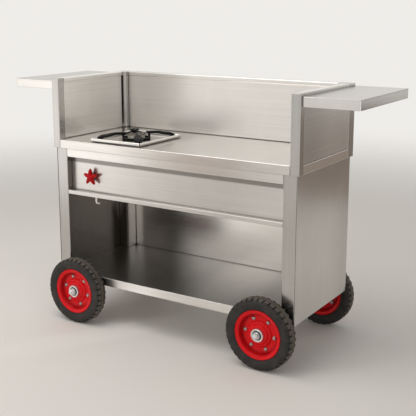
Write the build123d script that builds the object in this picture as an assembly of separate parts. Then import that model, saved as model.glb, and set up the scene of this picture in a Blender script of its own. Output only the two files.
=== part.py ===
from build123d import *
import math
import os

# Mobile counter: a stainless steel cart with an open cabinet, splash guards on three sides of its worktop,
# a shelf at each end, one gas ring and four disc wheels.
# Millimetres. +X is the right end, -Y the open front and +Z up, from an origin on the floor under the middle.

# Worktop
WORKTOP_LENGTH = 1260.0
WORKTOP_DEPTH = 530.0
WORKTOP_HEIGHT = 850.0
WORKTOP_BAND = 38.0
WORKTOP_FLANGE = 20.0
OVERHANG = 10.0

# Sheet, tube and angle stock
SHEET = 1.5
FOLD_RADIUS = 2.0
TUBE_WALL = 2.0
TUBE_INNER_RADIUS = 1.5
ANGLE_WALL = 3.0

# Cabinet
POST_SIZE = 60.0
CABINET_BOTTOM = 195.0
TOP_RAIL_HEIGHT = 40.0
TOP_RAIL_WIDTH = 40.0
TOP_BAR_WIDTH = 40.0
SHELF_TOP = 224.0
SHELF_LIP = 38.0
BASE_RAIL = 30.0
CROSS_CHANNEL_WIDTH = 100.0

# Fascia, with its height taken from the ledge up to the top of the worktop
FASCIA_RECESS = 30.0
FASCIA_TUCK = 28.0
LEDGE_HEIGHT = 234.0
LEDGE_LIP = 18.0

# Guards
GUARD_HEIGHT = 280.0
GUARD_TUBE = 40.0
GUARD_REAR_TUBE = 60.0
GUARD_REAR_SLOT = 9.0
GUARD_RAIL_HEIGHT = 20.0
GUARD_INNER_INSET = 2.0
GUARD_OUTER_INSET = 0.5
GUARD_SEAM = 2.5

# Side shelves
SIDE_SHELF_WIDTH = 235.0
SIDE_SHELF_DEPTH = 515.0
SIDE_SHELF_SETBACK = 15.0
SIDE_SHELF_STEP = 11.0
SIDE_SHELF_LIP = 40.0
SIDE_SHELF_SLIT = 4.0
SHELF_BOLT_DROP = 22.0

# Hob tray and burner, with the middle's place taken from the worktop's left end and front edge
HOB_X = 336.0
HOB_Y = 189.0
HOB_WIDTH = 282.0
HOB_DEPTH = 322.0
HOB_RIM_WIDTH = 12.0
HOB_RIM_HEIGHT = 12.0
HOB_RIM_RADIUS = 3.5
HOB_PLINTH = 4.0
HOB_PLINTH_INSET = 8.0
HOB_CORNER_SLIT = 1.2
BURNER_RADIUS = 40.0
BURNER_HEIGHT = 12.5
BURNER_WALL = 5.0
BURNER_FLOOR = 3.5
THROAT_RADIUS = 15.0
THROAT_WALL = 4.0
THROAT_LENGTH = 60.0
THROAT_CLEARANCE = 2.0
WORKTOP_BURNER_HOLE = 30.0
CAP_HEIGHT = 8.0
CAP_OVERHANG = 1.0
CAP_SPIGOT = 5.0
CAP_PORTS = 24
CAP_PORT_WIDTH = 2.0
CAP_PORT_HEIGHT = 3.0
CAP_EDGE_RADIUS = 3.0

# Pan support
SUPPORT_RING_GAP = 14.0
SUPPORT_RING_WIDTH = 10.0
SUPPORT_RING_HEIGHT = 8.0
SUPPORT_TIP_GAP = 5.0
SUPPORT_NECK = 28.0
SUPPORT_ARM_WIDTH = 10.0
SUPPORT_ARM_HEIGHT = 10.0
SUPPORT_LEAF_WIDTH = 44.0
SUPPORT_RISE = 20.0
SUPPORT_DROP = 10.0
SUPPORT_CORNER_GAP = 16.0
SUPPORT_FOOT = 16.0
SUPPORT_SLOPE = 30.0
SUPPORT_LEAF_STEPS = 8

# Gas valve, knob and pipes, with the knob's place taken from the worktop's left end and the ledge
KNOB_X = 197.0
KNOB_Z = 71.0
KNOB_RADIUS = 40.0
KNOB_VALLEY = 17.0
KNOB_TIP_ROUND = 5.0
KNOB_VALLEY_ROUND = 4.0
KNOB_THICKNESS = 20.0
KNOB_EDGE_RADIUS = 3.5
KNOB_LOBES = 5
KNOB_STANDOFF = 13.0
KNOB_NECK_RADIUS = 12.0
KNOB_NECK_LENGTH = 4.0
SPINDLE_RADIUS = 4.0
SPINDLE_IN_KNOB = 13.0
SPINDLE_IN_VALVE = 31.0
BUSHING_RADIUS = 8.0
BUSHING_LENGTH = 6.0
BUSHING_HOLE_GAP = 0.3
VALVE_RADIUS = 14.0
VALVE_LENGTH = 44.0
VALVE_PORT_RADIUS = 7.0
VALVE_BOSS_RADIUS = 9.0
VALVE_OUTLET_LENGTH = 10.0
INLET_SETBACK = 18.0
INLET_DROP = 129.0
INLET_BEND = 8.0
INLET_FOOT = 12.0
INLET_RADIUS = 4.0
INLET_WALL = 1.5
INLET_SOCKET = 10.0
FEED_RADIUS = 5.0
FEED_WALL = 1.5
FEED_BEND = 25.0
FEED_SOCKET = 8.0

# Running gear, with the axles' places taken from the worktop's ends
WHEEL_X = 143.0
WHEEL_RADIUS = 152.5
TYRE_WIDTH = 64.0
WHEEL_GAP = 8.0
AXLE_RADIUS = 12.0
AXLE_SEAT_RADIUS = 10.0
AXLE_THREAD_RADIUS = 8.0
AXLE_THREAD_LENGTH = 24.5
AXLE_TIP_CHAMFER = 1.5
BRACKET_Y = 190.0
BRACKET_THICKNESS = 30.0
BRACKET_WIDTH = 48.0
BRACKET_FLANGE_LENGTH = 92.0
BRACKET_FLANGE_DEPTH = 40.0
BRACKET_FLANGE_THICKNESS = 6.0
BRACKET_BOLT_SPACING = 68.0
BOLT_RADIUS = 4.0
BOLT_HEAD_FLATS = 13.0
BOLT_HEAD_HEIGHT = 5.3
BOLT_LENGTH = 20.0
WASHER_RADIUS = 15.5
WASHER_THICKNESS = 3.0
NUT_FLATS = 24.0
NUT_HEIGHT = 13.0
NUT_CHAMFER = 1.2

# Wheel
RIM_RADIUS = 105.0
RIM_SHEET = 2.5
RIM_BEAD = 3.0
RIM_HALF_WIDTH = 25.0
RIM_WELL_RADIUS = 80.0
RIM_SEAT_RADIUS = 89.0
RIM_BOSS_HEIGHT = 16.0
RIM_BOSS_RADIUS = 40.0
RIM_STEP_HEIGHT = 7.5
RIM_STEP_RADIUS = 52.0
RIM_SLOPE = 4.0
HUB_RADIUS = 28.0
HUB_LENGTH = 60.0
HUB_BORE_RADIUS = 18.0
HUB_EDGE = 1.0
BEARING_RADIUS = 23.5
BEARING_WIDTH = 14.0
BEARING_RACE = 3.5
BEARING_SEAL_DEPTH = 1.2
RIM_BOLTS = 6
RIM_BOLT_CIRCLE = 67.0
RIM_BOLT_RADIUS = 5.0
RIM_BOLT_HEAD_RADIUS = 8.5
RIM_BOLT_HEAD_HEIGHT = 7.0
RIM_BOLT_TAIL = 10.0
RIM_NUT_FLATS = 16.0
RIM_NUT_HEIGHT = 8.0
TYRE_FLANGE_GAP = 0.5
TYRE_SHOULDER_RADIUS = 146.0
TYRE_SHOULDER_HALF = 28.0
TYRE_CROWN_HALF = 17.0
TYRE_LUGS = 36
TYRE_NOTCH_WIDTH = 6.0
TYRE_NOTCH_DEPTH = 5.0
TYRE_NOTCH_LENGTH = 15.0
TYRE_GROOVE_WIDTH = 3.5
TYRE_GROOVE_DEPTH = 4.0
TYRE_GROOVE_OFFSET = 9.0

# Clearances
RUNNING_FIT = 0.05
LOOSE_FIT = 0.2
REST_GAP = 0.3
END_PLAY = 0.5

# Rest angles of the rim bolts, one for each wheel
WHEEL_TURNS = {(-1, -1): -12.0, (1, -1): -5.0, (-1, 1): 20.0, (1, 1): 35.0}

# Places worked out from the sizes above
CORNERS = [(-1, -1), (1, -1), (-1, 1), (1, 1)]
WORD_X = {-1: "left", 1: "right"}
WORD_Y = {-1: "front", 1: "rear"}
GUARD_WIDTHS = {-1: GUARD_TUBE, 1: GUARD_REAR_TUBE}

top_half_x = WORKTOP_LENGTH / 2
top_half_y = WORKTOP_DEPTH / 2
cabinet_half_x = top_half_x - OVERHANG
cabinet_half_y = top_half_y - OVERHANG
cabinet_top = WORKTOP_HEIGHT - WORKTOP_BAND
front_y = -cabinet_half_y
side_inner_x = cabinet_half_x - SHEET
back_inner_y = cabinet_half_y - SHEET
bay_half_x = side_inner_x - POST_SIZE
guard_top = WORKTOP_HEIGHT + GUARD_HEIGHT
guard_front_y = -top_half_y + GUARD_TUBE
guard_rear_x = top_half_x - GUARD_REAR_TUBE
guard_rear_y = top_half_y - GUARD_REAR_TUBE
side_shelf_top = guard_top - SIDE_SHELF_STEP
side_shelf_front = -top_half_y + SIDE_SHELF_SETBACK
base_rail_top = SHELF_TOP - SHEET
base_rail_bottom = base_rail_top - BASE_RAIL
ledge_z = WORKTOP_HEIGHT - LEDGE_HEIGHT
knob_x = KNOB_X - top_half_x
knob_z = ledge_z + KNOB_Z
fascia_y = front_y + FASCIA_RECESS
fascia_back_y = fascia_y + SHEET
hob_x = HOB_X - top_half_x
hob_y = HOB_Y - top_half_y
hob_floor_top = WORKTOP_HEIGHT + HOB_PLINTH + SHEET
hob_rim_top = WORKTOP_HEIGHT + HOB_PLINTH + HOB_RIM_HEIGHT
burner_top = hob_floor_top + BURNER_HEIGHT
throat_bottom = hob_floor_top - THROAT_LENGTH
cap_radius = BURNER_RADIUS + CAP_OVERHANG
cap_bottom = burner_top + REST_GAP
support_foot_z = hob_floor_top + REST_GAP
support_top = cap_bottom + SUPPORT_RISE - REST_GAP
valve_back_y = fascia_back_y + VALVE_LENGTH
outlet_y = valve_back_y + VALVE_OUTLET_LENGTH
bushing_front_y = fascia_y - BUSHING_LENGTH
knob_back_y = fascia_y - KNOB_STANDOFF
inlet_y = fascia_back_y + INLET_SETBACK
inlet_top_z = knob_z - VALVE_RADIUS
inlet_foot_z = knob_z - INLET_DROP
wheel_x = top_half_x - WHEEL_X
wheel_y = cabinet_half_y + WHEEL_GAP + TYRE_WIDTH / 2
hub_half = HUB_LENGTH / 2
axle_shoulder_y = wheel_y - hub_half - END_PLAY
axle_seat_end_y = wheel_y + hub_half + END_PLAY
axle_end_y = axle_seat_end_y + AXLE_THREAD_LENGTH
flange_bottom = base_rail_bottom - BRACKET_FLANGE_THICKNESS


def upright(x, y, z):
    """A plane that looks up, with its own x along +X."""
    return Plane(origin=(x, y, z), x_dir=(1, 0, 0), z_dir=(0, 0, 1))


def lengthways(x, y, z):
    """A plane that looks along +X, with its own axes along +Y and +Z."""
    return Plane(origin=(x, y, z), x_dir=(0, 1, 0), z_dir=(1, 0, 0))


def crossways(x, y, z):
    """A plane that looks along +Y, with its own axes along -X and +Z."""
    return Plane(origin=(x, y, z), x_dir=(-1, 0, 0), z_dir=(0, 1, 0))


def block(low, high):
    """A solid box between two corners."""
    size = [b - a for a, b in zip(low, high)]
    middle = [(a + b) / 2 for a, b in zip(low, high)]
    return Pos(*middle) * Box(*size)


def mirrored_block(side, low, high):
    """A box given for the +X half, put on that side."""
    left = min(side * low[0], side * high[0])
    right = max(side * low[0], side * high[0])
    return block((left, low[1], low[2]), (right, high[1], high[2]))


def rod(plane, radius, length):
    """A round bar that starts on a plane."""
    return extrude(plane * Circle(radius), length)


def pipe(plane, radius, bore, length):
    """A round tube that starts on a plane."""
    return extrude(plane * (Circle(radius) - Circle(bore)), length)


def square_tube(plane, width, height, length):
    """A rectangular tube with rounded corners that starts on a plane."""
    outer = RectangleRounded(width, height, TUBE_INNER_RADIUS + TUBE_WALL)
    inner = RectangleRounded(width - 2 * TUBE_WALL, height - 2 * TUBE_WALL, TUBE_INNER_RADIUS)
    return extrude(plane * (outer - inner), length)


def polygon(points):
    return make_face(Polyline(*points, close=True))


def notched(length, depth):
    """A rectangle with a square cut out of each corner for the guard posts."""
    outline = Rectangle(length, depth)
    for side, end in CORNERS:
        notch = GUARD_WIDTHS[end]
        corner = Pos(side * (length - notch) / 2, end * (depth - notch) / 2)
        outline -= corner * Rectangle(notch, notch)
    return outline


def edges_at(part, axis, **place):
    """Straight edges along an axis whose middles lie at the given coordinates."""
    found = part.edges().filter_by(axis)
    return [e for e in found if all(abs(getattr(e.center(), k) - v) < 0.01 for k, v in place.items())]


def hexagon(flats):
    return RegularPolygon(flats / math.sqrt(3), 6)


def bolt(place):
    """A hexagon bolt whose shank starts on a plane and whose head stands behind it."""
    head = extrude(place * hexagon(BOLT_HEAD_FLATS), -BOLT_HEAD_HEIGHT)
    return head + rod(place, BOLT_RADIUS, BOLT_LENGTH)


# Cabinet


def cabinet_post(side, end):
    x = side * (side_inner_x - POST_SIZE / 2)
    y = front_y + POST_SIZE / 2 if end < 0 else back_inner_y - POST_SIZE / 2
    return square_tube(upright(x, y, CABINET_BOTTOM), POST_SIZE, POST_SIZE, cabinet_top - CABINET_BOTTOM)


def side_panel(side):
    low = (side_inner_x, front_y, CABINET_BOTTOM)
    high = (cabinet_half_x, cabinet_half_y, cabinet_top)
    return mirrored_block(side, low, high)


def back_panel():
    return block((-side_inner_x, back_inner_y, CABINET_BOTTOM), (side_inner_x, cabinet_half_y, cabinet_top))


def bracket_bolt_places():
    """Middles of the holes that hold the axle brackets, seen from above."""
    for side, end in CORNERS:
        for along in (-1, 1):
            yield side * wheel_x + along * BRACKET_BOLT_SPACING / 2, end * BRACKET_Y


def angle_rail(heel_y, toe_y, depth, top_z):
    """An angle between the posts, with one leg down at its heel and one leg level towards its toe."""
    inner_y = heel_y + math.copysign(ANGLE_WALL, toe_y - heel_y)
    upright_leg = (min(heel_y, inner_y), max(heel_y, inner_y), top_z - depth)
    level_leg = (min(heel_y, toe_y), max(heel_y, toe_y), top_z - ANGLE_WALL)
    rail = None
    for low_y, high_y, low_z in (upright_leg, level_leg):
        leg = block((-bay_half_x, low_y, low_z), (bay_half_x, high_y, top_z))
        rail = leg if rail is None else rail + leg
    return rail


def base_frame():
    """Front and rear angles, with two channels welded between them to carry the axles."""
    low_y = front_y + SHEET
    high_y = back_inner_y
    front_rail = angle_rail(low_y, low_y + BASE_RAIL, BASE_RAIL, base_rail_top)
    rear_rail = angle_rail(high_y, high_y - BASE_RAIL, BASE_RAIL, base_rail_top)
    pieces = [front_rail, rear_rail]
    for side in (-1, 1):
        near = side * wheel_x - CROSS_CHANNEL_WIDTH / 2
        far = side * wheel_x + CROSS_CHANNEL_WIDTH / 2
        channel = block((near, low_y, base_rail_bottom), (far, high_y, base_rail_top))
        inner_low = (near + ANGLE_WALL, low_y, base_rail_bottom + ANGLE_WALL)
        channel -= block(inner_low, (far - ANGLE_WALL, high_y, base_rail_top))
        for x, y in bracket_bolt_places():
            channel -= rod(upright(x, y, base_rail_bottom), BOLT_RADIUS + LOOSE_FIT, ANGLE_WALL)
        pieces.append(channel - front_rail - rear_rail)
    return Compound(children=pieces)


def top_frame():
    """Front and rear angles under the worktop, with three flat bars welded between them."""
    low_z = cabinet_top - TOP_RAIL_HEIGHT
    front_toe = front_y + TOP_RAIL_WIDTH
    rear_toe = back_inner_y - TOP_RAIL_WIDTH
    front_rail = angle_rail(front_y, front_toe, TOP_RAIL_HEIGHT, cabinet_top)
    front_rail = fillet(edges_at(front_rail, Axis.X, Y=front_y, Z=low_z), ANGLE_WALL / 3)
    pieces = [front_rail, angle_rail(back_inner_y, rear_toe, TOP_RAIL_HEIGHT, cabinet_top)]
    for start in (-bay_half_x, -TOP_BAR_WIDTH / 2, bay_half_x - TOP_BAR_WIDTH):
        low = (start, front_toe, cabinet_top - ANGLE_WALL)
        pieces.append(block(low, (start + TOP_BAR_WIDTH, rear_toe, cabinet_top)))
    return Compound(children=pieces)


def bottom_shelf():
    """A sheet that fits round the posts, with its front edge folded down between them."""
    shelf = block((-side_inner_x, front_y, base_rail_top), (side_inner_x, back_inner_y, SHELF_TOP))
    for side in (-1, 1):
        for y in (front_y, back_inner_y - POST_SIZE):
            low = (bay_half_x, y, base_rail_top)
            high = (side_inner_x, y + POST_SIZE, SHELF_TOP)
            shelf -= mirrored_block(side, low, high)
    shelf += block((-bay_half_x, front_y, SHELF_TOP - SHELF_LIP), (bay_half_x, front_y + SHEET, SHELF_TOP))
    return fillet(edges_at(shelf, Axis.X, Y=front_y, Z=SHELF_TOP), FOLD_RADIUS)


def fascia_panel():
    """A sheet folded forwards into a ledge and down into a lip, with a hole for the valve."""
    outline = [
        (fascia_y, cabinet_top - ANGLE_WALL - SHEET),
        (fascia_y, ledge_z),
        (front_y, ledge_z),
        (front_y, ledge_z - LEDGE_LIP),
        (front_y + SHEET, ledge_z - LEDGE_LIP),
        (front_y + SHEET, ledge_z - SHEET),
        (fascia_back_y, ledge_z - SHEET),
        (fascia_back_y, cabinet_top - ANGLE_WALL - SHEET),
    ]
    panel = extrude(lengthways(-bay_half_x, 0, 0) * polygon(outline), 2 * bay_half_x)
    panel = fillet(edges_at(panel, Axis.X, Y=front_y, Z=ledge_z), FOLD_RADIUS)
    hole = rod(crossways(knob_x, fascia_y, knob_z), BUSHING_RADIUS + BUSHING_HOLE_GAP, SHEET)
    return panel - hole


# Worktop, guards and side shelves


def worktop():
    """A folded pan with a flange turned in under its skirt and its corners cut out for the guard posts."""
    base = upright(0, 0, cabinet_top)
    pan = extrude(base * notched(WORKTOP_LENGTH, WORKTOP_DEPTH), WORKTOP_BAND)
    rims = edges_at(pan, Axis.X, Y=-top_half_y, Z=WORKTOP_HEIGHT)
    rims += edges_at(pan, Axis.X, Y=top_half_y, Z=WORKTOP_HEIGHT)
    rims += edges_at(pan, Axis.Y, X=-top_half_x, Z=WORKTOP_HEIGHT)
    rims += edges_at(pan, Axis.Y, X=top_half_x, Z=WORKTOP_HEIGHT)
    pan = fillet(rims, FOLD_RADIUS)
    hollow = notched(WORKTOP_LENGTH - 2 * SHEET, WORKTOP_DEPTH - 2 * SHEET)
    mouth = notched(WORKTOP_LENGTH - 2 * WORKTOP_FLANGE, WORKTOP_DEPTH - 2 * WORKTOP_FLANGE)
    pan -= extrude(upright(0, 0, cabinet_top + SHEET) * hollow, WORKTOP_BAND - 2 * SHEET)
    pan -= extrude(base * mouth, SHEET)
    return pan - rod(upright(hob_x, hob_y, WORKTOP_HEIGHT - SHEET), WORKTOP_BURNER_HOLE, SHEET)


def shelf_bolt_place(end):
    """Where the bolts of the side shelves enter the front or the rear guard posts, as y and z."""
    inset = top_half_y - GUARD_WIDTHS[end] / 2
    y = inset if end > 0 else SIDE_SHELF_SETBACK / 2 - inset
    return y, side_shelf_top - SHELF_BOLT_DROP


def guard_posts(end):
    """A pair of capped square posts at the front or the rear corners, one at each side."""
    posts = []
    width = GUARD_WIDTHS[end]
    for side in (-1, 1):
        x = side * (top_half_x - width / 2)
        y = end * (top_half_y - width / 2)
        post = square_tube(upright(x, y, cabinet_top), width, width, guard_top - cabinet_top - TUBE_WALL)
        lid = RectangleRounded(width, width, TUBE_INNER_RADIUS + TUBE_WALL)
        post += extrude(upright(x, y, guard_top - TUBE_WALL) * lid, TUBE_WALL)
        post = fillet(post.faces().sort_by(Axis.Z)[-1].edges(), TUBE_WALL / 2)
        outer_wall = top_half_x - TUBE_WALL if side > 0 else -top_half_x
        post -= rod(lengthways(outer_wall, *shelf_bolt_place(end)), BOLT_RADIUS + LOOSE_FIT, TUBE_WALL)
        posts.append(post)
    return Compound(children=posts)


def guard_side_rail(side):
    x = side * (top_half_x - GUARD_TUBE / 2)
    z = guard_top - GUARD_RAIL_HEIGHT / 2
    length = guard_rear_y - guard_front_y
    return square_tube(crossways(x, guard_front_y, z), GUARD_TUBE, GUARD_RAIL_HEIGHT, length)


def guard_back_rail():
    y = top_half_y - GUARD_TUBE / 2
    z = guard_top - GUARD_RAIL_HEIGHT / 2
    return square_tube(lengthways(-guard_rear_x, y, z), GUARD_TUBE, GUARD_RAIL_HEIGHT, 2 * guard_rear_x)


def guard_fold():
    """Cross-section of a guard panel: a sheet folded over, open below, about the guard's middle."""
    inner = GUARD_TUBE / 2 - GUARD_INNER_INSET
    outer = GUARD_TUBE / 2 - GUARD_OUTER_INSET
    low = WORKTOP_HEIGHT + GUARD_SEAM
    high = guard_top - GUARD_RAIL_HEIGHT
    return [
        (-inner, low),
        (-inner, high),
        (outer, high),
        (outer, low),
        (outer - SHEET, low),
        (outer - SHEET, high - SHEET),
        (-inner + SHEET, high - SHEET),
        (-inner + SHEET, low),
    ]


def guard_side_panel(side):
    """A folded panel with a slot beside the rear post, which its outer sheet closes."""
    middle = top_half_x - GUARD_TUBE / 2
    outline = [(-side * (middle + across), z) for across, z in guard_fold()]
    slot_y = guard_rear_y - GUARD_REAR_SLOT
    panel = extrude(crossways(0, guard_front_y, 0) * polygon(outline), slot_y - guard_front_y)
    outer_x = top_half_x - GUARD_OUTER_INSET
    low = (outer_x - SHEET, slot_y, WORKTOP_HEIGHT + GUARD_SEAM)
    return panel + mirrored_block(side, low, (outer_x, guard_rear_y, guard_top - GUARD_RAIL_HEIGHT))


def guard_back_panel():
    middle = top_half_y - GUARD_TUBE / 2
    outline = [(middle + across, z) for across, z in guard_fold()]
    return extrude(lengthways(-guard_rear_x, 0, 0) * polygon(outline), 2 * guard_rear_x)


def side_shelf(side):
    """A sheet on four welded lips, slit beside its outer corners and bolted on through its inner lip."""
    near_x = top_half_x
    far_x = top_half_x + SIDE_SHELF_WIDTH
    low_y = side_shelf_front
    high_y = side_shelf_front + SIDE_SHELF_DEPTH
    low_z = side_shelf_top - SIDE_SHELF_LIP
    high_z = side_shelf_top - SHEET
    sheet = mirrored_block(side, (near_x, low_y, high_z), (far_x, high_y, side_shelf_top))
    sheet = fillet(edges_at(sheet, Axis.Z, X=side * far_x), FOLD_RADIUS)
    sheet = fillet(sheet.faces().sort_by(Axis.Z)[-1].edges(), SHEET / 2)
    end_lip = mirrored_block(
        side,
        (far_x - SHEET, low_y + SHEET + SIDE_SHELF_SLIT, low_z),
        (far_x, high_y - SHEET - SIDE_SHELF_SLIT, high_z),
    )
    inner_lip = mirrored_block(side, (near_x, low_y + SHEET, low_z), (near_x + SHEET, high_y - SHEET, high_z))
    inner_face = near_x if side > 0 else -near_x - SHEET
    for end in (-1, 1):
        inner_lip -= rod(lengthways(inner_face, *shelf_bolt_place(end)), BOLT_RADIUS + LOOSE_FIT, SHEET)
    pieces = [sheet, end_lip, inner_lip]
    for start in (low_y, high_y - SHEET):
        lip = mirrored_block(side, (near_x, start, low_z), (far_x - FOLD_RADIUS, start + SHEET, high_z))
        pieces.append(lip)
    return Compound(children=pieces)


def frame_bolts():
    """Bolts under the axle brackets, and bolts inside the side shelves."""
    bolts = [bolt(upright(x, y, flange_bottom)) for x, y in bracket_bolt_places()]
    for side, end in CORNERS:
        y, z = shelf_bolt_place(end)
        place = Plane(origin=(side * (top_half_x + SHEET), y, z), x_dir=(0, 1, 0), z_dir=(-side, 0, 0))
        bolts.append(bolt(place))
    return Compound(children=bolts)


# Gas ring


def hob_tray():
    """A shallow tray with a thick rim on a low plinth, slit at its corners and holed for the burner."""
    plinth_top = WORKTOP_HEIGHT + HOB_PLINTH
    inner = Rectangle(HOB_WIDTH - 2 * HOB_RIM_WIDTH, HOB_DEPTH - 2 * HOB_RIM_WIDTH)
    tray = extrude(upright(hob_x, hob_y, plinth_top) * Rectangle(HOB_WIDTH, HOB_DEPTH), HOB_RIM_HEIGHT)
    tray -= extrude(upright(hob_x, hob_y, hob_floor_top) * inner, HOB_RIM_HEIGHT)
    tray = fillet(tray.faces().sort_by(Axis.Z)[-1].edges(), HOB_RIM_RADIUS)
    skirt = Rectangle(HOB_WIDTH - 2 * HOB_PLINTH_INSET, HOB_DEPTH - 2 * HOB_PLINTH_INSET) - inner
    tray += extrude(upright(hob_x, hob_y, WORKTOP_HEIGHT) * skirt, HOB_PLINTH)
    reach = 2 * HOB_RIM_WIDTH
    for side, end in CORNERS:
        place = Pos(hob_x + side * HOB_WIDTH / 2, hob_y + end * HOB_DEPTH / 2, hob_floor_top)
        slit = Box(2 * reach, HOB_CORNER_SLIT, HOB_RIM_HEIGHT, align=(Align.CENTER, Align.CENTER, Align.MIN))
        tray -= place * Rot(0, 0, 45 * side * end) * slit
    return tray - rod(upright(hob_x, hob_y, plinth_top), THROAT_RADIUS + THROAT_CLEARANCE, SHEET)


def burner_body():
    """A cup on the tray's floor, with a throat that goes down through the worktop to the gas feed."""
    body = rod(upright(hob_x, hob_y, hob_floor_top), BURNER_RADIUS, BURNER_HEIGHT)
    body += rod(upright(hob_x, hob_y, throat_bottom), THROAT_RADIUS, THROAT_LENGTH)
    cup_floor = hob_floor_top + BURNER_FLOOR
    body -= rod(upright(hob_x, hob_y, cup_floor), BURNER_RADIUS - BURNER_WALL, BURNER_HEIGHT)
    bore_bottom = throat_bottom + FEED_SOCKET
    body -= rod(upright(hob_x, hob_y, bore_bottom), THROAT_RADIUS - THROAT_WALL, cup_floor - bore_bottom)
    return body - rod(upright(hob_x, hob_y, throat_bottom), FEED_RADIUS + RUNNING_FIT, FEED_SOCKET)


def burner_cap():
    """A crowned lid with flame ports cut round its lower edge and a spigot that sits in the cup."""
    cap = rod(upright(hob_x, hob_y, cap_bottom), cap_radius, CAP_HEIGHT)
    cap = fillet(cap.faces().sort_by(Axis.Z)[-1].edges(), CAP_EDGE_RADIUS)
    spigot = BURNER_RADIUS - BURNER_WALL - REST_GAP
    cap += rod(upright(hob_x, hob_y, cap_bottom), spigot, -CAP_SPIGOT)
    port_length = 2 * (cap_radius - spigot)
    port = Box(port_length, CAP_PORT_WIDTH, CAP_PORT_HEIGHT, align=(Align.CENTER, Align.CENTER, Align.MIN))
    centre = Pos(hob_x, hob_y, cap_bottom)
    for number in range(CAP_PORTS):
        cap -= centre * Rot(0, 0, 360 * number / CAP_PORTS) * Pos(cap_radius, 0, 0) * port
    return cap


def support_arm(ring_inner, ring_outer, reach):
    """An arm along +X: a leg with a neck that carries the pan, and a leaf that slopes down to a foot."""
    tip = cap_radius + SUPPORT_TIP_GAP
    leaf_start = ring_outer + SUPPORT_NECK
    neck_low = support_top - SUPPORT_ARM_HEIGHT
    leaf_end_z = support_top - SUPPORT_DROP
    profile = [
        (ring_inner, support_foot_z),
        (ring_inner, neck_low),
        (tip, support_top - SUPPORT_ARM_HEIGHT / 2),
        (tip, support_top),
        (leaf_start, support_top),
        (reach - SUPPORT_SLOPE / 3, leaf_end_z),
        (reach, support_foot_z + SUPPORT_ARM_HEIGHT),
        (reach, support_foot_z),
        (reach - SUPPORT_FOOT, support_foot_z),
        (reach - SUPPORT_SLOPE, leaf_end_z - SUPPORT_ARM_HEIGHT),
        (leaf_start, neck_low),
        (ring_outer + SUPPORT_ARM_HEIGHT, neck_low),
        (ring_outer, support_foot_z + SUPPORT_RING_HEIGHT),
        (ring_outer, support_foot_z),
    ]
    neck_half = SUPPORT_ARM_WIDTH / 2
    swell = SUPPORT_LEAF_WIDTH / 2 - neck_half
    edge = [(tip, neck_half)]
    for step in range(SUPPORT_LEAF_STEPS + 1):
        share = step / SUPPORT_LEAF_STEPS
        along = leaf_start + share * (reach - leaf_start)
        edge.append((along, neck_half + swell * math.sin(math.pi * share)))
    plan = edge + [(x, -y) for x, y in reversed(edge)]
    arm = extrude(Plane.XZ.offset(-SUPPORT_LEAF_WIDTH / 2) * polygon(profile), SUPPORT_LEAF_WIDTH)
    arm &= extrude(upright(0, 0, support_foot_z) * polygon(plan), support_top - support_foot_z)
    inner = block((0, -neck_half, support_foot_z), (leaf_start, neck_half, support_top))
    return [arm & inner, arm - inner]


def pan_support():
    """Four arms that reach the tray's corners, held together by a low ring round the burner."""
    ring_inner = cap_radius + SUPPORT_RING_GAP
    ring_outer = ring_inner + SUPPORT_RING_WIDTH
    inner_x = HOB_WIDTH / 2 - HOB_RIM_WIDTH
    inner_y = HOB_DEPTH / 2 - HOB_RIM_WIDTH
    reach = math.hypot(inner_x, inner_y) - SUPPORT_CORNER_GAP
    arm = support_arm(ring_inner, ring_outer, reach)
    ring = pipe(upright(0, 0, support_foot_z), ring_outer, ring_inner, SUPPORT_RING_HEIGHT)
    leg = block((0, -SUPPORT_ARM_WIDTH / 2, support_foot_z), (reach, SUPPORT_ARM_WIDTH / 2, support_top))
    centre = Pos(hob_x, hob_y, 0)
    pieces = []
    for side, end in CORNERS:
        turn = Rot(0, 0, math.degrees(math.atan2(end * inner_y, side * inner_x)))
        pieces += [centre * turn * piece for piece in arm]
        ring -= turn * leg
    pieces += [centre * arc for arc in ring.solids()]
    return Compound(children=pieces)


def gas_valve():
    """A brass tap behind the fascia, with a bushing through it, an inlet under it and an outlet behind."""
    valve = rod(crossways(knob_x, fascia_back_y, knob_z), VALVE_RADIUS, VALVE_LENGTH)
    valve += rod(crossways(knob_x, bushing_front_y, knob_z), BUSHING_RADIUS, fascia_back_y - bushing_front_y)
    valve += rod(crossways(knob_x, valve_back_y, knob_z), VALVE_PORT_RADIUS, VALVE_OUTLET_LENGTH)
    boss_low = inlet_top_z - INLET_SOCKET
    valve += rod(upright(knob_x, inlet_y, boss_low), VALVE_BOSS_RADIUS, knob_z - boss_low)
    valve -= rod(upright(knob_x, inlet_y, boss_low), INLET_RADIUS + RUNNING_FIT, INLET_SOCKET)
    spindle_end = fascia_y + SPINDLE_IN_VALVE + REST_GAP
    bore = SPINDLE_RADIUS + RUNNING_FIT
    valve -= rod(crossways(knob_x, bushing_front_y, knob_z), bore, spindle_end - bushing_front_y)
    feed_start = outlet_y - FEED_SOCKET
    return valve - rod(crossways(knob_x, feed_start, knob_z), FEED_RADIUS + RUNNING_FIT, FEED_SOCKET)


def valve_spindle():
    start = knob_back_y - SPINDLE_IN_KNOB
    return rod(crossways(knob_x, start, knob_z), SPINDLE_RADIUS, fascia_y + SPINDLE_IN_VALVE - start)


def star_apex():
    """How far out a sharp point starts, for its rounded tip to end at the knob's radius."""
    valley_x = KNOB_VALLEY * math.cos(math.pi / KNOB_LOBES)
    valley_y = KNOB_VALLEY * math.sin(math.pi / KNOB_LOBES)
    inset = KNOB_RADIUS - KNOB_TIP_ROUND - valley_x
    slim = 1 - (KNOB_TIP_ROUND / valley_y) ** 2
    return valley_x + (inset + math.sqrt(inset**2 - slim * (inset**2 - KNOB_TIP_ROUND**2))) / slim


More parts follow.
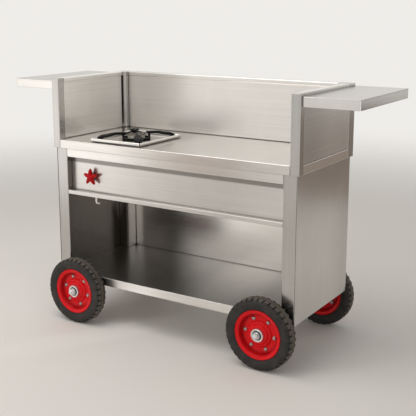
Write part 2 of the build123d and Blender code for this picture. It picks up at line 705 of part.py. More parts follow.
def star_knob():
    """A rounded five-point star on a short neck, bored for the spindle."""
    points = []
    apex = star_apex()
    for number in range(2 * KNOB_LOBES):
        radius = KNOB_VALLEY if number % 2 else apex
        angle = math.pi / 2 + math.pi * number / KNOB_LOBES
        points.append((radius * math.cos(angle), radius * math.sin(angle)))
    star = polygon(points)
    tips = star.vertices().filter_by(lambda v: math.hypot(v.X, v.Y) > apex - 0.01)
    star = fillet(tips, KNOB_TIP_ROUND)
    valleys = star.vertices().filter_by(lambda v: math.hypot(v.X, v.Y) < KNOB_VALLEY + 0.01)
    star = fillet(valleys, KNOB_VALLEY_ROUND)
    knob = extrude(crossways(knob_x, knob_back_y, knob_z) * star, -KNOB_THICKNESS)
    knob = fillet(knob.faces().sort_by(Axis.Y)[0].edges(), KNOB_EDGE_RADIUS)
    knob += rod(crossways(knob_x, knob_back_y, knob_z), KNOB_NECK_RADIUS, KNOB_NECK_LENGTH)
    start = knob_back_y - SPINDLE_IN_KNOB
    return knob - rod(crossways(knob_x, start, knob_z), SPINDLE_RADIUS, SPINDLE_IN_KNOB + KNOB_NECK_LENGTH)


def bent_tube(points, bend, radius, wall):
    """A tube along straight runs joined by arcs."""
    path = FilletPolyline(*points, radius=bend)
    start = Plane(origin=path @ 0, z_dir=path % 0)
    return sweep(start * (Circle(radius) - Circle(radius - wall)), path=path)


def feed_pipe():
    points = [
        (knob_x, outlet_y - FEED_SOCKET, knob_z),
        (knob_x, hob_y, knob_z),
        (hob_x, hob_y, knob_z),
        (hob_x, hob_y, throat_bottom + FEED_SOCKET),
    ]
    return bent_tube(points, FEED_BEND, FEED_RADIUS, FEED_WALL)


def inlet_elbow():
    points = [
        (knob_x, inlet_y, inlet_top_z),
        (knob_x, inlet_y, inlet_foot_z),
        (knob_x + INLET_BEND + INLET_FOOT, inlet_y, inlet_foot_z),
    ]
    return bent_tube(points, INLET_BEND, INLET_RADIUS, INLET_WALL)


# Running gear


def wheel_axles():
    """Two stepped axles: thick between the wheels, thinner in the bearings, thinnest where the nuts go."""
    axles = []
    for side in (-1, 1):
        x = side * wheel_x
        axle = rod(crossways(x, -axle_shoulder_y, WHEEL_RADIUS), AXLE_RADIUS, 2 * axle_shoulder_y)
        axle += rod(crossways(x, -axle_seat_end_y, WHEEL_RADIUS), AXLE_SEAT_RADIUS, 2 * axle_seat_end_y)
        axle += rod(crossways(x, -axle_end_y, WHEEL_RADIUS), AXLE_THREAD_RADIUS, 2 * axle_end_y)
        for face in (axle.faces().sort_by(Axis.Y)[0], axle.faces().sort_by(Axis.Y)[-1]):
            axle = chamfer(face.edges(), AXLE_TIP_CHAMFER)
        axles.append(axle)
    return Compound(children=axles)


def axle_brackets():
    """Four blocks with a flange under the base frame and a bore that holds the axle."""
    brackets = []
    for side, end in CORNERS:
        x = side * wheel_x
        y = end * BRACKET_Y
        near_y = y - BRACKET_THICKNESS / 2
        half = BRACKET_WIDTH / 2
        far_y = near_y + BRACKET_THICKNESS
        bracket = block((x - half, near_y, WHEEL_RADIUS), (x + half, far_y, flange_bottom))
        bracket += rod(crossways(x, near_y, WHEEL_RADIUS), half, BRACKET_THICKNESS)
        half_length = BRACKET_FLANGE_LENGTH / 2
        half_depth = BRACKET_FLANGE_DEPTH / 2
        low = (x - half_length, y - half_depth, flange_bottom)
        bracket += block(low, (x + half_length, y + half_depth, base_rail_bottom))
        bracket -= rod(crossways(x, near_y, WHEEL_RADIUS), AXLE_RADIUS, BRACKET_THICKNESS)
        for along in (-1, 1):
            place = upright(x + along * BRACKET_BOLT_SPACING / 2, y, flange_bottom)
            bracket -= rod(place, BOLT_RADIUS + LOOSE_FIT, BRACKET_FLANGE_THICKNESS)
        brackets.append(bracket)
    return Compound(children=brackets)


def axle_end_plane(side, end, distance):
    """A plane across an axle at a distance from the middle, which looks outwards."""
    origin = (side * wheel_x, end * distance, WHEEL_RADIUS)
    return Plane(origin=origin, x_dir=(1, 0, 0), z_dir=(0, end, 0))


def axle_washers():
    bore = AXLE_THREAD_RADIUS + LOOSE_FIT
    places = [axle_end_plane(side, end, axle_seat_end_y) for side, end in CORNERS]
    return Compound(children=[pipe(place, WASHER_RADIUS, bore, WASHER_THICKNESS) for place in places])


def axle_nuts():
    """Hexagon nuts with their corners turned off at the outer face."""
    nuts = []
    for side, end in CORNERS:
        place = axle_end_plane(side, end, axle_seat_end_y + WASHER_THICKNESS)
        nut = extrude(place * (hexagon(NUT_FLATS) - Circle(AXLE_THREAD_RADIUS)), NUT_HEIGHT)
        outer_face = place.offset(NUT_HEIGHT)
        cone = extrude(outer_face * Circle(NUT_FLATS / 2), -NUT_CHAMFER, taper=-60)
        ring = rod(place, NUT_FLATS, NUT_HEIGHT - NUT_CHAMFER)
        nuts.append((nut & (cone + ring)).solids()[0])
    return Compound(children=nuts)


# Wheel, made with its axis up and its outer side on top


def offset_path(points, distance):
    """An open path moved to its right, with its corners kept sharp."""
    normals = []
    for (x0, y0), (x1, y1) in zip(points, points[1:]):
        length = math.hypot(x1 - x0, y1 - y0)
        normals.append(((y1 - y0) / length, (x0 - x1) / length))
    before = [normals[0]] + normals
    after = normals + [normals[-1]]
    moved = []
    for (x, y), (ax, ay), (bx, by) in zip(points, before, after):
        scale = distance / (1 + ax * bx + ay * by)
        moved.append((x + (ax + bx) * scale, y + (ay + by) * scale))
    return moved


def rim_path():
    """The visible side of the outer pressing, from the hub to the flange, as radius and height."""
    return [
        (HUB_RADIUS, RIM_SHEET + RIM_BOSS_HEIGHT),
        (RIM_BOSS_RADIUS, RIM_SHEET + RIM_BOSS_HEIGHT),
        (RIM_BOSS_RADIUS + RIM_SLOPE, RIM_SHEET + RIM_STEP_HEIGHT),
        (RIM_STEP_RADIUS, RIM_SHEET + RIM_STEP_HEIGHT),
        (RIM_STEP_RADIUS + RIM_SLOPE, RIM_SHEET),
        (RIM_WELL_RADIUS, RIM_SHEET),
        (RIM_SEAT_RADIUS, RIM_HALF_WIDTH),
        (RIM_RADIUS - RIM_BEAD, RIM_HALF_WIDTH),
    ]


def around_bolt_circle(piece):
    """Copies of a piece at each rim bolt."""
    return [Rot(0, 0, 360 * n / RIM_BOLTS) * Pos(RIM_BOLT_CIRCLE, 0, 0) * piece for n in range(RIM_BOLTS)]


def rim_half():
    """One pressed half of the rim, with a rolled bead at its edge and holes for the bolts."""
    path = rim_path()
    section = polygon(path + offset_path(path, RIM_SHEET)[::-1])
    half = revolve(Plane.XZ * section, Axis.Z)
    half += revolve(Plane.XZ * Pos(RIM_RADIUS - RIM_BEAD, RIM_HALF_WIDTH) * Circle(RIM_BEAD), Axis.Z)
    for hole in around_bolt_circle(rod(upright(0, 0, 0), RIM_BOLT_RADIUS + LOOSE_FIT, RIM_SHEET)):
        half -= hole
    return half


def tyre():
    """A solid rubber tyre between the rim halves, with grooves round it and notches along its shoulders."""
    back = offset_path(rim_path(), RIM_SHEET)
    foot = back[5][0]
    seat_x, seat_z = back[6]
    flange_x = RIM_RADIUS - 2 * RIM_BEAD - TYRE_FLANGE_GAP
    under_z = RIM_HALF_WIDTH - RIM_BEAD - TYRE_FLANGE_GAP
    edge_x = RIM_RADIUS + TYRE_FLANGE_GAP
    bulge = ((edge_x + TYRE_SHOULDER_RADIUS) / 2, TYRE_WIDTH / 2)
    shoulder = (TYRE_SHOULDER_RADIUS, TYRE_SHOULDER_HALF)
    crown = (WHEEL_RADIUS, TYRE_CROWN_HALF)
    inside = [
        (foot, 0),
        (seat_x, seat_z),
        (flange_x, seat_z),
        (flange_x, under_z),
        (edge_x, under_z),
        (edge_x, RIM_HALF_WIDTH),
    ]
    upper = Polyline(*inside)
    upper += TangentArc(bulge, inside[-1], tangent=(-1, 0))
    upper += TangentArc(bulge, shoulder, tangent=(1, 0))
    upper += TangentArc(crown, shoulder, tangent=(0, 1))
    upper += Polyline(crown, (WHEEL_RADIUS, 0), (foot, 0))
    half = revolve(Plane.XZ * make_face(upper), Axis.Z)
    groove = pipe(
        upright(0, 0, TYRE_GROOVE_OFFSET - TYRE_GROOVE_WIDTH / 2),
        WHEEL_RADIUS + TYRE_GROOVE_DEPTH,
        WHEEL_RADIUS - TYRE_GROOVE_DEPTH,
        TYRE_GROOVE_WIDTH,
    )
    half -= groove
    notch = Box(2 * TYRE_NOTCH_DEPTH, TYRE_NOTCH_WIDTH, TYRE_NOTCH_LENGTH)
    notch_z = TYRE_CROWN_HALF + TYRE_NOTCH_LENGTH / 2
    notches = []
    for number in range(TYRE_LUGS):
        turn_angle = 360 * number / TYRE_LUGS
        notches.append(Rot(0, 0, turn_angle) * Pos(WHEEL_RADIUS, 0, notch_z) * notch)
    half -= notches
    return half + Rot(0, 0, 180 / TYRE_LUGS) * mirror(half, Plane.XY)


def wheel_hub():
    hub = pipe(upright(0, 0, -hub_half), HUB_RADIUS, HUB_BORE_RADIUS, HUB_LENGTH)
    for start in (-hub_half, hub_half - BEARING_WIDTH):
        hub -= rod(upright(0, 0, start), BEARING_RADIUS, BEARING_WIDTH)
    outer_edges = [e for e in hub.edges().filter_by(GeomType.CIRCLE) if abs(e.radius - HUB_RADIUS) < 0.01]
    return chamfer(outer_edges, HUB_EDGE)


def bearings():
    """Two ball bearings, one at each end of the hub, with a sunken seal on their outer faces."""
    bore = AXLE_SEAT_RADIUS + RUNNING_FIT
    ring = pipe(upright(0, 0, hub_half - BEARING_WIDTH), BEARING_RADIUS, bore, BEARING_WIDTH)
    seal_place = upright(0, 0, hub_half - BEARING_SEAL_DEPTH)
    ring -= pipe(seal_place, BEARING_RADIUS - BEARING_RACE, bore + BEARING_RACE, BEARING_SEAL_DEPTH)
    return Compound(children=[ring, mirror(ring, Plane.XY)])


def rim_bolts():
    """Six round-headed bolts through both rim halves, and their nuts."""
    head_sphere = (RIM_BOLT_HEAD_RADIUS**2 + RIM_BOLT_HEAD_HEIGHT**2) / (2 * RIM_BOLT_HEAD_HEIGHT)
    dome = Pos(0, 0, RIM_SHEET + RIM_BOLT_HEAD_HEIGHT - head_sphere) * Sphere(head_sphere)
    head = dome & rod(upright(0, 0, RIM_SHEET), 2 * head_sphere, RIM_BOLT_HEAD_HEIGHT)
    tail = RIM_SHEET + RIM_BOLT_TAIL
    fastener = head + rod(upright(0, 0, -tail), RIM_BOLT_RADIUS, tail + RIM_SHEET)
    nut_outline = hexagon(RIM_NUT_FLATS) - Circle(RIM_BOLT_RADIUS + RUNNING_FIT)
    nut = extrude(upright(0, 0, -RIM_SHEET) * nut_outline, -RIM_NUT_HEIGHT)
    return Compound(children=around_bolt_circle(fastener) + around_bolt_circle(nut))


def wheel_pieces():
    outer = rim_half()
    return {
        "tyre": tyre(),
        "outer_rim": outer,
        "inner_rim": mirror(outer, Plane.XY),
        "hub": wheel_hub(),
        "bearings": bearings(),
        "rim_bolts": rim_bolts(),
    }


def fitted_wheels():
    """Every piece of the four wheels, turned to face outwards and moved onto the axles."""
    wheels = {}
    pieces = wheel_pieces()
    for side, end in CORNERS:
        place = Pos(side * wheel_x, end * wheel_y, WHEEL_RADIUS) * Rot(-90 * end, 0, 0)
        turn = Rot(0, 0, WHEEL_TURNS[side, end])
        for name, piece in pieces.items():
            wheels[f"{WORD_Y[end]}_{WORD_X[side]}_{name}"] = place * turn * piece
    return wheels


def counter():
    """Every node of the counter by its name."""
    nodes = {}
    for side, end in CORNERS:
        nodes[f"{WORD_Y[end]}_{WORD_X[side]}_post"] = cabinet_post(side, end)
    for side in (-1, 1):
        word = WORD_X[side]
        nodes[f"{word}_side_panel"] = side_panel(side)
        nodes[f"{word}_guard_rail"] = guard_side_rail(side)
        nodes[f"{word}_guard_panel"] = guard_side_panel(side)
        nodes[f"{word}_side_shelf"] = side_shelf(side)
    for end in (-1, 1):
        nodes[f"{WORD_Y[end]}_guard_posts"] = guard_posts(end)
    nodes["back_panel"] = back_panel()
    nodes["base_frame"] = base_frame()
    nodes["top_frame"] = top_frame()
    nodes["bottom_shelf"] = bottom_shelf()
    nodes["fascia_panel"] = fascia_panel()
    nodes["worktop"] = worktop()
    nodes["back_guard_rail"] = guard_back_rail()
    nodes["back_guard_panel"] = guard_back_panel()
    nodes["frame_bolts"] = frame_bolts()
    nodes["hob_tray"] = hob_tray()
    nodes["burner_body"] = burner_body()
    nodes["burner_cap"] = burner_cap()
    nodes["pan_support"] = pan_support()
    nodes["gas_valve"] = gas_valve()
    nodes["valve_spindle"] = valve_spindle()
    nodes["star_knob"] = star_knob()
    nodes["feed_pipe"] = feed_pipe()
    nodes["inlet_elbow"] = inlet_elbow()
    nodes["wheel_axles"] = wheel_axles()
    nodes["axle_brackets"] = axle_brackets()
    nodes["axle_washers"] = axle_washers()
    nodes["axle_nuts"] = axle_nuts()
    nodes.update(fitted_wheels())
    return nodes


os.makedirs("parts", exist_ok=True)
for node_name, node in counter().items():
    export_step(node, os.path.join("parts", f"{node_name}.step"))
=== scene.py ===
import math

import bmesh
import bpy
from bpy.props import FloatProperty, FloatVectorProperty, IntProperty, PointerProperty
from mathutils import Matrix, Vector


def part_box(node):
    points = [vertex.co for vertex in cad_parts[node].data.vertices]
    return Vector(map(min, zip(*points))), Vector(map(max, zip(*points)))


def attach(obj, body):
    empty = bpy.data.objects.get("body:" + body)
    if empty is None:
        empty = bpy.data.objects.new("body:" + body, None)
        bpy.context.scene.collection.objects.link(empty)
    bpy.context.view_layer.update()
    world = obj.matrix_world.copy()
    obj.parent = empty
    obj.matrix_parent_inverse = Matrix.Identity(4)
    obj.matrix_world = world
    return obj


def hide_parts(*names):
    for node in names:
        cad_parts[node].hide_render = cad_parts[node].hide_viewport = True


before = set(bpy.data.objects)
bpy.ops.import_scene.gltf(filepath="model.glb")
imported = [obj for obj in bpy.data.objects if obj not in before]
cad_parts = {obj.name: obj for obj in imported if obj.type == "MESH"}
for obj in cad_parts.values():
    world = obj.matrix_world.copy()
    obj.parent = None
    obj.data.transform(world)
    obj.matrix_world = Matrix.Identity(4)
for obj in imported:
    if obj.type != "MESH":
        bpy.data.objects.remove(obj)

bl_info = {
    "name": "Mobile counter",
    "version": (1, 0, 0),
    "blender": (4, 5, 0),
    "location": "3D View > Sidebar > Counter",
    "description": "Dresses a stainless steel mobile counter with its finishes, wheels and gas ring",
    "category": "Object",
}

WHEELS = {
    "front_left": (-1, -12.0),
    "front_right": (-1, -5.0),
    "rear_left": (1, 20.0),
    "rear_right": (1, 35.0),
}
FRAMES = ["top_frame", "base_frame"]
BACK_GUARD = ["back_guard_panel", "back_guard_rail"]
SIDES = ["left_side_panel", "right_side_panel"]
SHEET_ALONG_Y = ["left_guard_panel", "right_guard_panel", "left_guard_rail", "right_guard_rail"]
SHELVES = ["left_side_shelf", "right_side_shelf"]
POSTS = [wheel + "_post" for wheel in WHEELS] + ["front_guard_posts", "rear_guard_posts"]
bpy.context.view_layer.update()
LAMP_WHITE = (1.0, 0.975, 0.945)
CREASE = 38.0
TINY = 1e-6
SKIN = 0.0012
BARE = 0.0004

# Where a viewer stands on the floor plan, and the upright faces that the mats on the floor are laid for
EYE = (2.0, -3.07)
BACK_FACE = 0.225
FASCIA_FACE = -0.26

# What the camera looks at, and its lens for a picture of this many pixels
CAMERA_AIM = (0.0481, 0.0, 0.7094)
CAMERA_SHIFT = -0.08
SENSOR_WIDTH = 36.0
FOCAL_PIXELS = 826.0
PICTURE_PIXELS = 416.0

# Where painted shade, smoke stains or wear start and where they are full, in metres from the middle of the
# floor under the counter
GUARD_SMOKE = (-0.16, -0.46)
GUARD_OUTER = (0.6165, 0.6180)
GUARD_FRONT = (0.05, -0.20)
END_SHELF_ROOT = (0.82, 0.66)
SIDE_INNER = (0.6197, 0.6188)
SIDE_HIGH = (0.55, 0.82)
SIDE_BACK = (0.06, 0.24)
FRONT_POST_INNER = (0.5600, 0.5588)
REAR_POST_SLOT = (0.568, 0.576)
UNDER_WORKTOP = (0.815, 0.805)
SHELF_TOP = (0.2225, 0.2236)
TRAY_FLOOR = (0.8605, 0.8575)
BAND_TOP = (0.8490, 0.8478)
BAND_END = (0.629, 0.626)
WORKTOP_TOP = (0.8490, 0.8496)
FASCIA_TOP = (0.742, 0.750)


def length(name, description, default, low=0.0001):
    """A size in metres that a user may change."""
    return FloatProperty(
        name=name, description=description, default=default, min=low, unit="LENGTH", precision=4
    )


def share(name, description, default, low=0.0, high=1.0):
    """A plain number between two ends."""
    return FloatProperty(
        name=name, description=description, default=default, min=low, max=high, subtype="FACTOR"
    )


def strength(name, description, default):
    """A strength of light."""
    return FloatProperty(name=name, description=description, default=default, min=0.0)


def heading(name, description, degrees):
    """An angle that is shown in degrees."""
    default = math.radians(degrees)
    return FloatProperty(name=name, description=description, default=default, subtype="ANGLE")


def colour(name, description, default):
    """A colour in linear light."""
    return FloatVectorProperty(
        name=name, description=description, default=default, min=0.0, max=1.0, size=3, subtype="COLOR"
    )


class CounterWheelSizes(bpy.types.PropertyGroup):
    """Sizes of the tread, the rims and the hub fittings"""

    lugs: IntProperty(name="Lugs", description="Tread blocks round each shoulder", default=36, min=8)
    notch: length("Notch depth", "Depth of the cuts between the tread blocks", 0.005)
    groove: length("Groove depth", "Depth of the two grooves round the tread", 0.004)
    weave: length("Groove weave", "How far each groove swings from side to side", 0.0014)
    soft: length("Pressing radius", "Roundness of the bends in the rim pressings", 0.0035)
    thread: length("Thread pitch", "Pitch of the axle threads", 0.0016)


class CounterGasSizes(bpy.types.PropertyGroup):
    """Sizes of the gas ring and its tap"""

    leaf: length("Leaf width", "Widest part of the pan support's arms", 0.044)
    neck: length("Neck width", "Width of an arm beside the burner", 0.010)
    arm: length("Arm depth", "Depth of an arm between its leg and its foot", 0.012)
    bar_round: length("Rim radius", "Roundness of the bars round the tray", 0.0045)
    slit: length("Corner slit", "Gap between the bars at the tray's corners", 0.0040)
    puff: share("Star fullness", "How round the star's points are", 0.62, 0.1, 1.0)


class CounterFinishes(bpy.types.PropertyGroup):
    """Colours and roughness of the counter's finishes"""

    steel_pale: colour("Steel, pale", "Bright streaks in the brushed steel", (0.845, 0.825, 0.798))
    steel_deep: colour("Steel, deep", "Dull streaks in the brushed steel", (0.605, 0.586, 0.562))
    # This dark colour is the painted shade in the steel's seams and corners, and also the burner's burnt
    # crown.
    shade_and_grime: colour("Grime", "Dirt in the seams and corners", (0.060, 0.048, 0.038))
    steel_rough: share("Steel roughness", "Roughness of the brushed sheet", 0.23)
    shelf_rough: share("Shelf roughness", "Roughness of the polished end shelves", 0.17)
    chrome: colour("Bright plate", "Plated nuts, washers and hub faces", (0.80, 0.80, 0.81))
    zinc: colour("Bolt zinc", "Dull plating of the rim bolts", (0.44, 0.43, 0.41))
    red: colour("Rim red", "Gloss paint of the rims", (0.74, 0.005, 0.010))
    knob: colour("Knob red", "Plastic of the star knob", (0.47, 0.003, 0.007))
    rubber: colour("Tyre rubber", "Clean rubber of the tyres", (0.026, 0.024, 0.023))
    dust: colour("Tyre dust", "Dust on the tread", (0.15, 0.125, 0.105))
    iron: colour("Enamelled iron", "Black enamel of the pan support", (0.007, 0.007, 0.007))
    alloy: colour("Burner alloy", "Cast alloy of the burner", (0.62, 0.58, 0.52))
    brass: colour("Brass", "Tap body and spindle", (0.66, 0.45, 0.17))
    copper: colour("Copper", "Gas feed pipe", (0.70, 0.36, 0.22))
    paint: colour("Bracket paint", "Dark paint of the axle brackets", (0.035, 0.035, 0.038))


class CounterStage(bpy.types.PropertyGroup):
    """Floor, light and camera"""

    floor: colour("Floor", "Plain pale floor", (0.80, 0.775, 0.74))
    around: colour("Background", "What shows past the floor", (0.86, 0.84, 0.81))
    card: colour("Cards", "Dark cards that show only in the steel", (0.26, 0.21, 0.175))
    room: strength("Room", "Soft light from all round", 0.52)
    over: strength("Overhead", "Brightness of the lamp above", 2.3)
    left: strength("Left lamp", "Brightness of the lamp at the left", 4.0)
    turn: heading("Camera turn", "Camera angle round the counter", 32.48)
    rise: heading("Camera rise", "Camera angle above level", 11.69)
    reach: length("Camera distance", "From the camera to the point that it looks at", 3.7135)


def sum_of(operation, turned=False):
    """A sum of a socket and something else, or the other way round."""
    def work(self, other):
        pair = (other, self) if turned else (self, other)
        return self.paint.maths(operation, *pair)
    return work


class Wire:
    """A shader socket that can stand in a sum."""

    __add__ = sum_of("ADD")
    __radd__ = sum_of("ADD", True)
    __sub__ = sum_of("SUBTRACT")
    __rsub__ = sum_of("SUBTRACT", True)
    __mul__ = sum_of("MULTIPLY")

    def __init__(self, paint, socket):
        self.paint = paint
        self.socket = socket

    def __abs__(self):
        return self.paint.maths("ABSOLUTE", self)


class Paint:
    """The node tree of one finish, or of the world."""

    def __init__(self, holder, output):
        holder.use_nodes = True
        self.holder = holder
        self.tree = holder.node_tree
        self.tree.nodes.clear()
        self.output = self.tree.nodes.new(output)

    def node(self, kind, settings, inputs, output=0):
        """Adds a node, with its settings set before its sockets, and gives back one of its outputs."""
        made = self.tree.nodes.new(kind)
        for name, value in settings.items():
            setattr(made, name, value)
        for name, value in inputs.items():
            socket = made.inputs[name]
            if isinstance(value, Wire):
                self.tree.links.new(value.socket, socket)
            elif socket.type == "RGBA" and len(value) == 3:
                socket.default_value = (*value, 1.0)
            else:
                socket.default_value = value
        return Wire(self, made.outputs[output])

    def maths(self, operation, *values):
        """One step of a sum."""
        return self.node("ShaderNodeMath", {"operation": operation}, dict(enumerate(values)))

    def place(self):
        """Where a point is on the counter, in metres."""
        return self.node("ShaderNodeTexCoord", {}, {}, "Object")

    def parts(self, vector):
        """The three numbers of a place."""
        split = self.node("ShaderNodeSeparateXYZ", {}, {"Vector": vector})
        return [Wire(self, socket) for socket in split.socket.node.outputs]

    def noise(self, vector, scale, detail=3.0, rough=0.55):
        """Cloudy noise from 0 to 1, stretched by a scale along each axis."""
        stretched = self.node("ShaderNodeVectorMath", {"operation": "MULTIPLY"}, {0: vector, 1: scale})
        inputs = {"Vector": stretched, "Scale": 1.0, "Detail": detail, "Roughness": rough}
        return self.node("ShaderNodeTexNoise", {}, inputs)

    def step(self, value, low, high):
        """Rises softly from 0 to 1 as a value goes from low to high."""
        settings = {"interpolation_type": "SMOOTHSTEP", "clamp": True}
        return self.node("ShaderNodeMapRange", settings, {"Value": value, "From Min": low, "From Max": high})

    def blend(self, mask, low, high):
        """One colour turning into another."""
        settings = {"data_type": "RGBA", "clamp_factor": True}
        return self.node("ShaderNodeMix", settings, {0: mask, 6: low, 7: high}, 2)

    def bump(self, height, distance, strength=1.0, edge=0.0):
        """Fine relief, over edges that are rounded by a radius."""
        inputs = {"Height": height, "Distance": distance, "Strength": strength}
        if edge:
            inputs["Normal"] = self.node("ShaderNodeBevel", {"samples": 6}, {"Radius": edge})
        return self.node("ShaderNodeBump", {}, inputs)

    def nook(self, reach):
        """From 0 on an open face to 1 deep in a corner, judged within a reach."""
        bare = self.node("ShaderNodeAmbientOcclusion", {"samples": 8}, {"Distance": reach}, "AO")
        return 1.0 - bare

    def finish(self, inputs):
        """Puts one main shader on the output and gives back the material."""
        shader = self.node("ShaderNodeBsdfPrincipled", {}, inputs)
        self.tree.links.new(shader.socket, self.output.inputs["Surface"])
        return self.holder


def new_paint(name):
    return Paint(bpy.data.materials.new(name), "ShaderNodeOutputMaterial")


def finishes():
    return bpy.context.scene.counter_finishes


def scaled(tint, by):
    """A colour made brighter or darker."""
    return tuple(by * part for part in tint)


def along(axis, long, across):
    """A noise scale that is drawn out along one axis."""
    return tuple(long if name == axis else across for name in "xyz")


def brushed_steel(name, axis, rough, tint=1.0, soot_and_shade=None, shade=0.35, flat=False):
    """Satin sheet with scratches along one axis, or broad painted reflection bands on a flat one, made
    brighter or darker by a tint as painted light and shade, with painted shade in seams and corners, and
    darker where a mask says: painted shade on most sheets, smoke stains on some.
    """
    look = finishes()
    paint = new_paint(name)
    place = paint.place()
    hair = paint.noise(place, along(axis, 9.0, 2200.0), 2.0)
    # On a flat sheet this noise makes broad bands across x, as painted reflection bands; on the others it
    # makes the brushing streaks.
    streak_and_sheen = paint.noise(place, (6.0, 0.7, 60.0) if flat else along(axis, 1.3, 110.0), 3.0)
    cloud = paint.noise(place, (4.5, 4.5, 4.5), 4.0)
    smear = paint.noise(place, (19.0, 19.0, 19.0), 5.0, 0.6)
    fine = 0.04 if flat else 0.24
    tone = hair * fine + streak_and_sheen * 0.70 + cloud * 0.45 + smear * 0.15 - 0.22
    # Painted shade: darker along seams and deep in corners, judged by occlusion.
    seam = paint.step(paint.nook(0.014), 0.26, 0.48) * (0.40 + cloud * 0.5)
    corner = paint.step(paint.nook(0.30), 0.50, 1.0) * shade
    shade_and_soot = paint.maths("MAXIMUM", seam, corner)
    if soot_and_shade:
        shade_and_soot = paint.maths("MAXIMUM", shade_and_soot, soot_and_shade(paint, *paint.parts(place)))
    # The tint makes each copy of the steel brighter or darker, as painted light and shade.
    pale = scaled(look.steel_pale, tint)
    deep = scaled(look.steel_deep, tint)
    clean = paint.blend(tone, deep, pale)
    return paint.finish({
        "Base Color": paint.blend(shade_and_soot, clean, look.shade_and_grime),
        "Metallic": 1.0,
        "Roughness": rough - 0.035 + streak_and_sheen * 0.03 + cloud * 0.03 + shade_and_soot * 0.02,
        "Normal": paint.bump(hair, 0.000040, 0.2 if flat else 1.0, 0.0025),
    })


def guard_soot(paint, x, y, z):
    """A smoky patch behind the gas ring."""
    return paint.step(x, *GUARD_SMOKE) * 0.26


def guard_end_painted_shade(paint, x, y, z):
    """Painted shade on the right guard's outer face, deepest at its front."""
    return paint.step(x, *GUARD_OUTER) * (0.30 + paint.step(y, *GUARD_FRONT) * 0.14)


def end_shelf_painted_shade(paint, x, y, z):
    """Duller tops on the end shelves, and painted shade on the right one's end face."""
    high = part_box("right_side_shelf")[1]
    worn = paint.step(z, high.z - SKIN, high.z - BARE) * (0.28 + paint.step(x, *END_SHELF_ROOT) * 0.12)
    return paint.maths("MAXIMUM", worn, paint.step(x, high.x - SKIN, high.x - BARE) * 0.36)


def side_panel_painted_shade(paint, x, y, z):
    """Painted shade inside the side panels, low and near the front, and painted shade outside, high and at
    the back.
    """
    inside = paint.step(abs(x), *SIDE_INNER)
    thick = 0.02 + paint.step(y + (z - 0.58) * 0.55, 0.115, 0.055) * 0.80
    shade = paint.maths("MAXIMUM", paint.step(z, *SIDE_HIGH) * 0.24, paint.step(y, *SIDE_BACK) * 0.16)
    return inside * thick + (1.0 - inside) * shade


def post_painted_shade(paint, x, y, z):
    """Painted shade below the worktop, on the front posts' inner faces and the rear posts' front faces."""
    rear_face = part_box("rear_left_post")[0].y
    front = paint.step(abs(x), *FRONT_POST_INNER) * paint.step(y, 0.0, -0.01) * 0.70
    slot = paint.step(abs(x), *REAR_POST_SLOT) * paint.step(y, 0.0, 0.01) * 0.90
    rear = paint.step(y, rear_face + SKIN, rear_face + BARE / 2) * slot
    return paint.maths("MAXIMUM", front, rear) * paint.step(z, *UNDER_WORKTOP)


def shelf_painted_shade(paint, x, y, z):
    """Painted shade on the bottom shelf's top, lighter to the right of its middle."""
    top = paint.step(z, *SHELF_TOP)
    return top * (0.30 - paint.step(abs(x - 0.20), 0.22, 0.05) * 0.28)


def tray_soot(paint, x, y, z):
    """A burnt floor inside the tray's bright bars."""
    return paint.step(z, *TRAY_FLOOR) * 0.35


def worktop_soot(paint, x, y, z):
    """A duller band round the worktop's edge, and smoke beside the gas ring."""
    edge = paint.step(z, *BAND_TOP) * paint.step(abs(x), *BAND_END) * 0.16
    smoke = paint.step(abs(x + 0.19), 0.15, 0.04) * 0.24
    return paint.maths("MAXIMUM", edge, smoke * paint.step(z, *WORKTOP_TOP))


def fascia_painted_shade(paint, x, y, z):
    """Painted shade on the fascia under the rail."""
    return paint.step(z, *FASCIA_TOP) * 0.62


def bright_plate(name, tint, rough):
    """Plated steel with faint turning marks."""
    paint = new_paint(name)
    place = paint.place()
    mark = paint.noise(place, (420.0, 420.0, 420.0), 3.0)
    stain = paint.noise(place, (60.0, 60.0, 60.0), 4.0)
    dull = paint.step(stain, 0.45, 0.75)
    shade = scaled(tint, 0.6)
    return paint.finish({
        "Base Color": paint.blend(dull * 0.7, tint, shade),
        "Metallic": 1.0,
        "Roughness": rough + mark * 0.10 + dull * 0.14,
        "Normal": paint.bump(mark, 0.0004, 0.10),
    })


def wheel_radius(paint, place):
    """How far a point is from the middle of its own wheel, in metres."""
    low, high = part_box("front_right_tyre")
    middle = (low + high) / 2
    x, z = paint.parts(place)[::2]
    across = abs(x) - middle.x
    rise = z - middle.z
    return paint.maths("SQRT", across * across + rise * rise)


def rim_paint():
    """Gloss red over pressed steel, with painted shade where its wall meets its disc, orange peel and a
    little dust.
    """
    look = finishes()
    paint = new_paint("rim_red_gloss")
    place = paint.place()
    radius = wheel_radius(paint, place)
    peel = paint.noise(place, (260.0, 260.0, 260.0), 2.0)
    dust = paint.noise(place, (45.0, 45.0, 45.0), 5.0, 0.6)
    wall = 0.0825
    # Painted shade in the crease between the wall and the disc, broken up by the dust noise.
    corner = paint.step(abs(radius - wall), 0.012, 0.0) * 0.75
    shade_and_grime = corner * (0.45 + dust * 0.8)
    deep = scaled(look.red, 0.30)
    return paint.finish({
        "Base Color": paint.blend(shade_and_grime, look.red, deep),
        "Roughness": 0.24 + dust * 0.14,
        "Specular IOR Level": 0.12,
        "Coat Weight": 0.16 - shade_and_grime * 0.1,
        "Coat Roughness": 0.05,
        "Normal": paint.bump(peel, 0.0005, 0.12),
    })


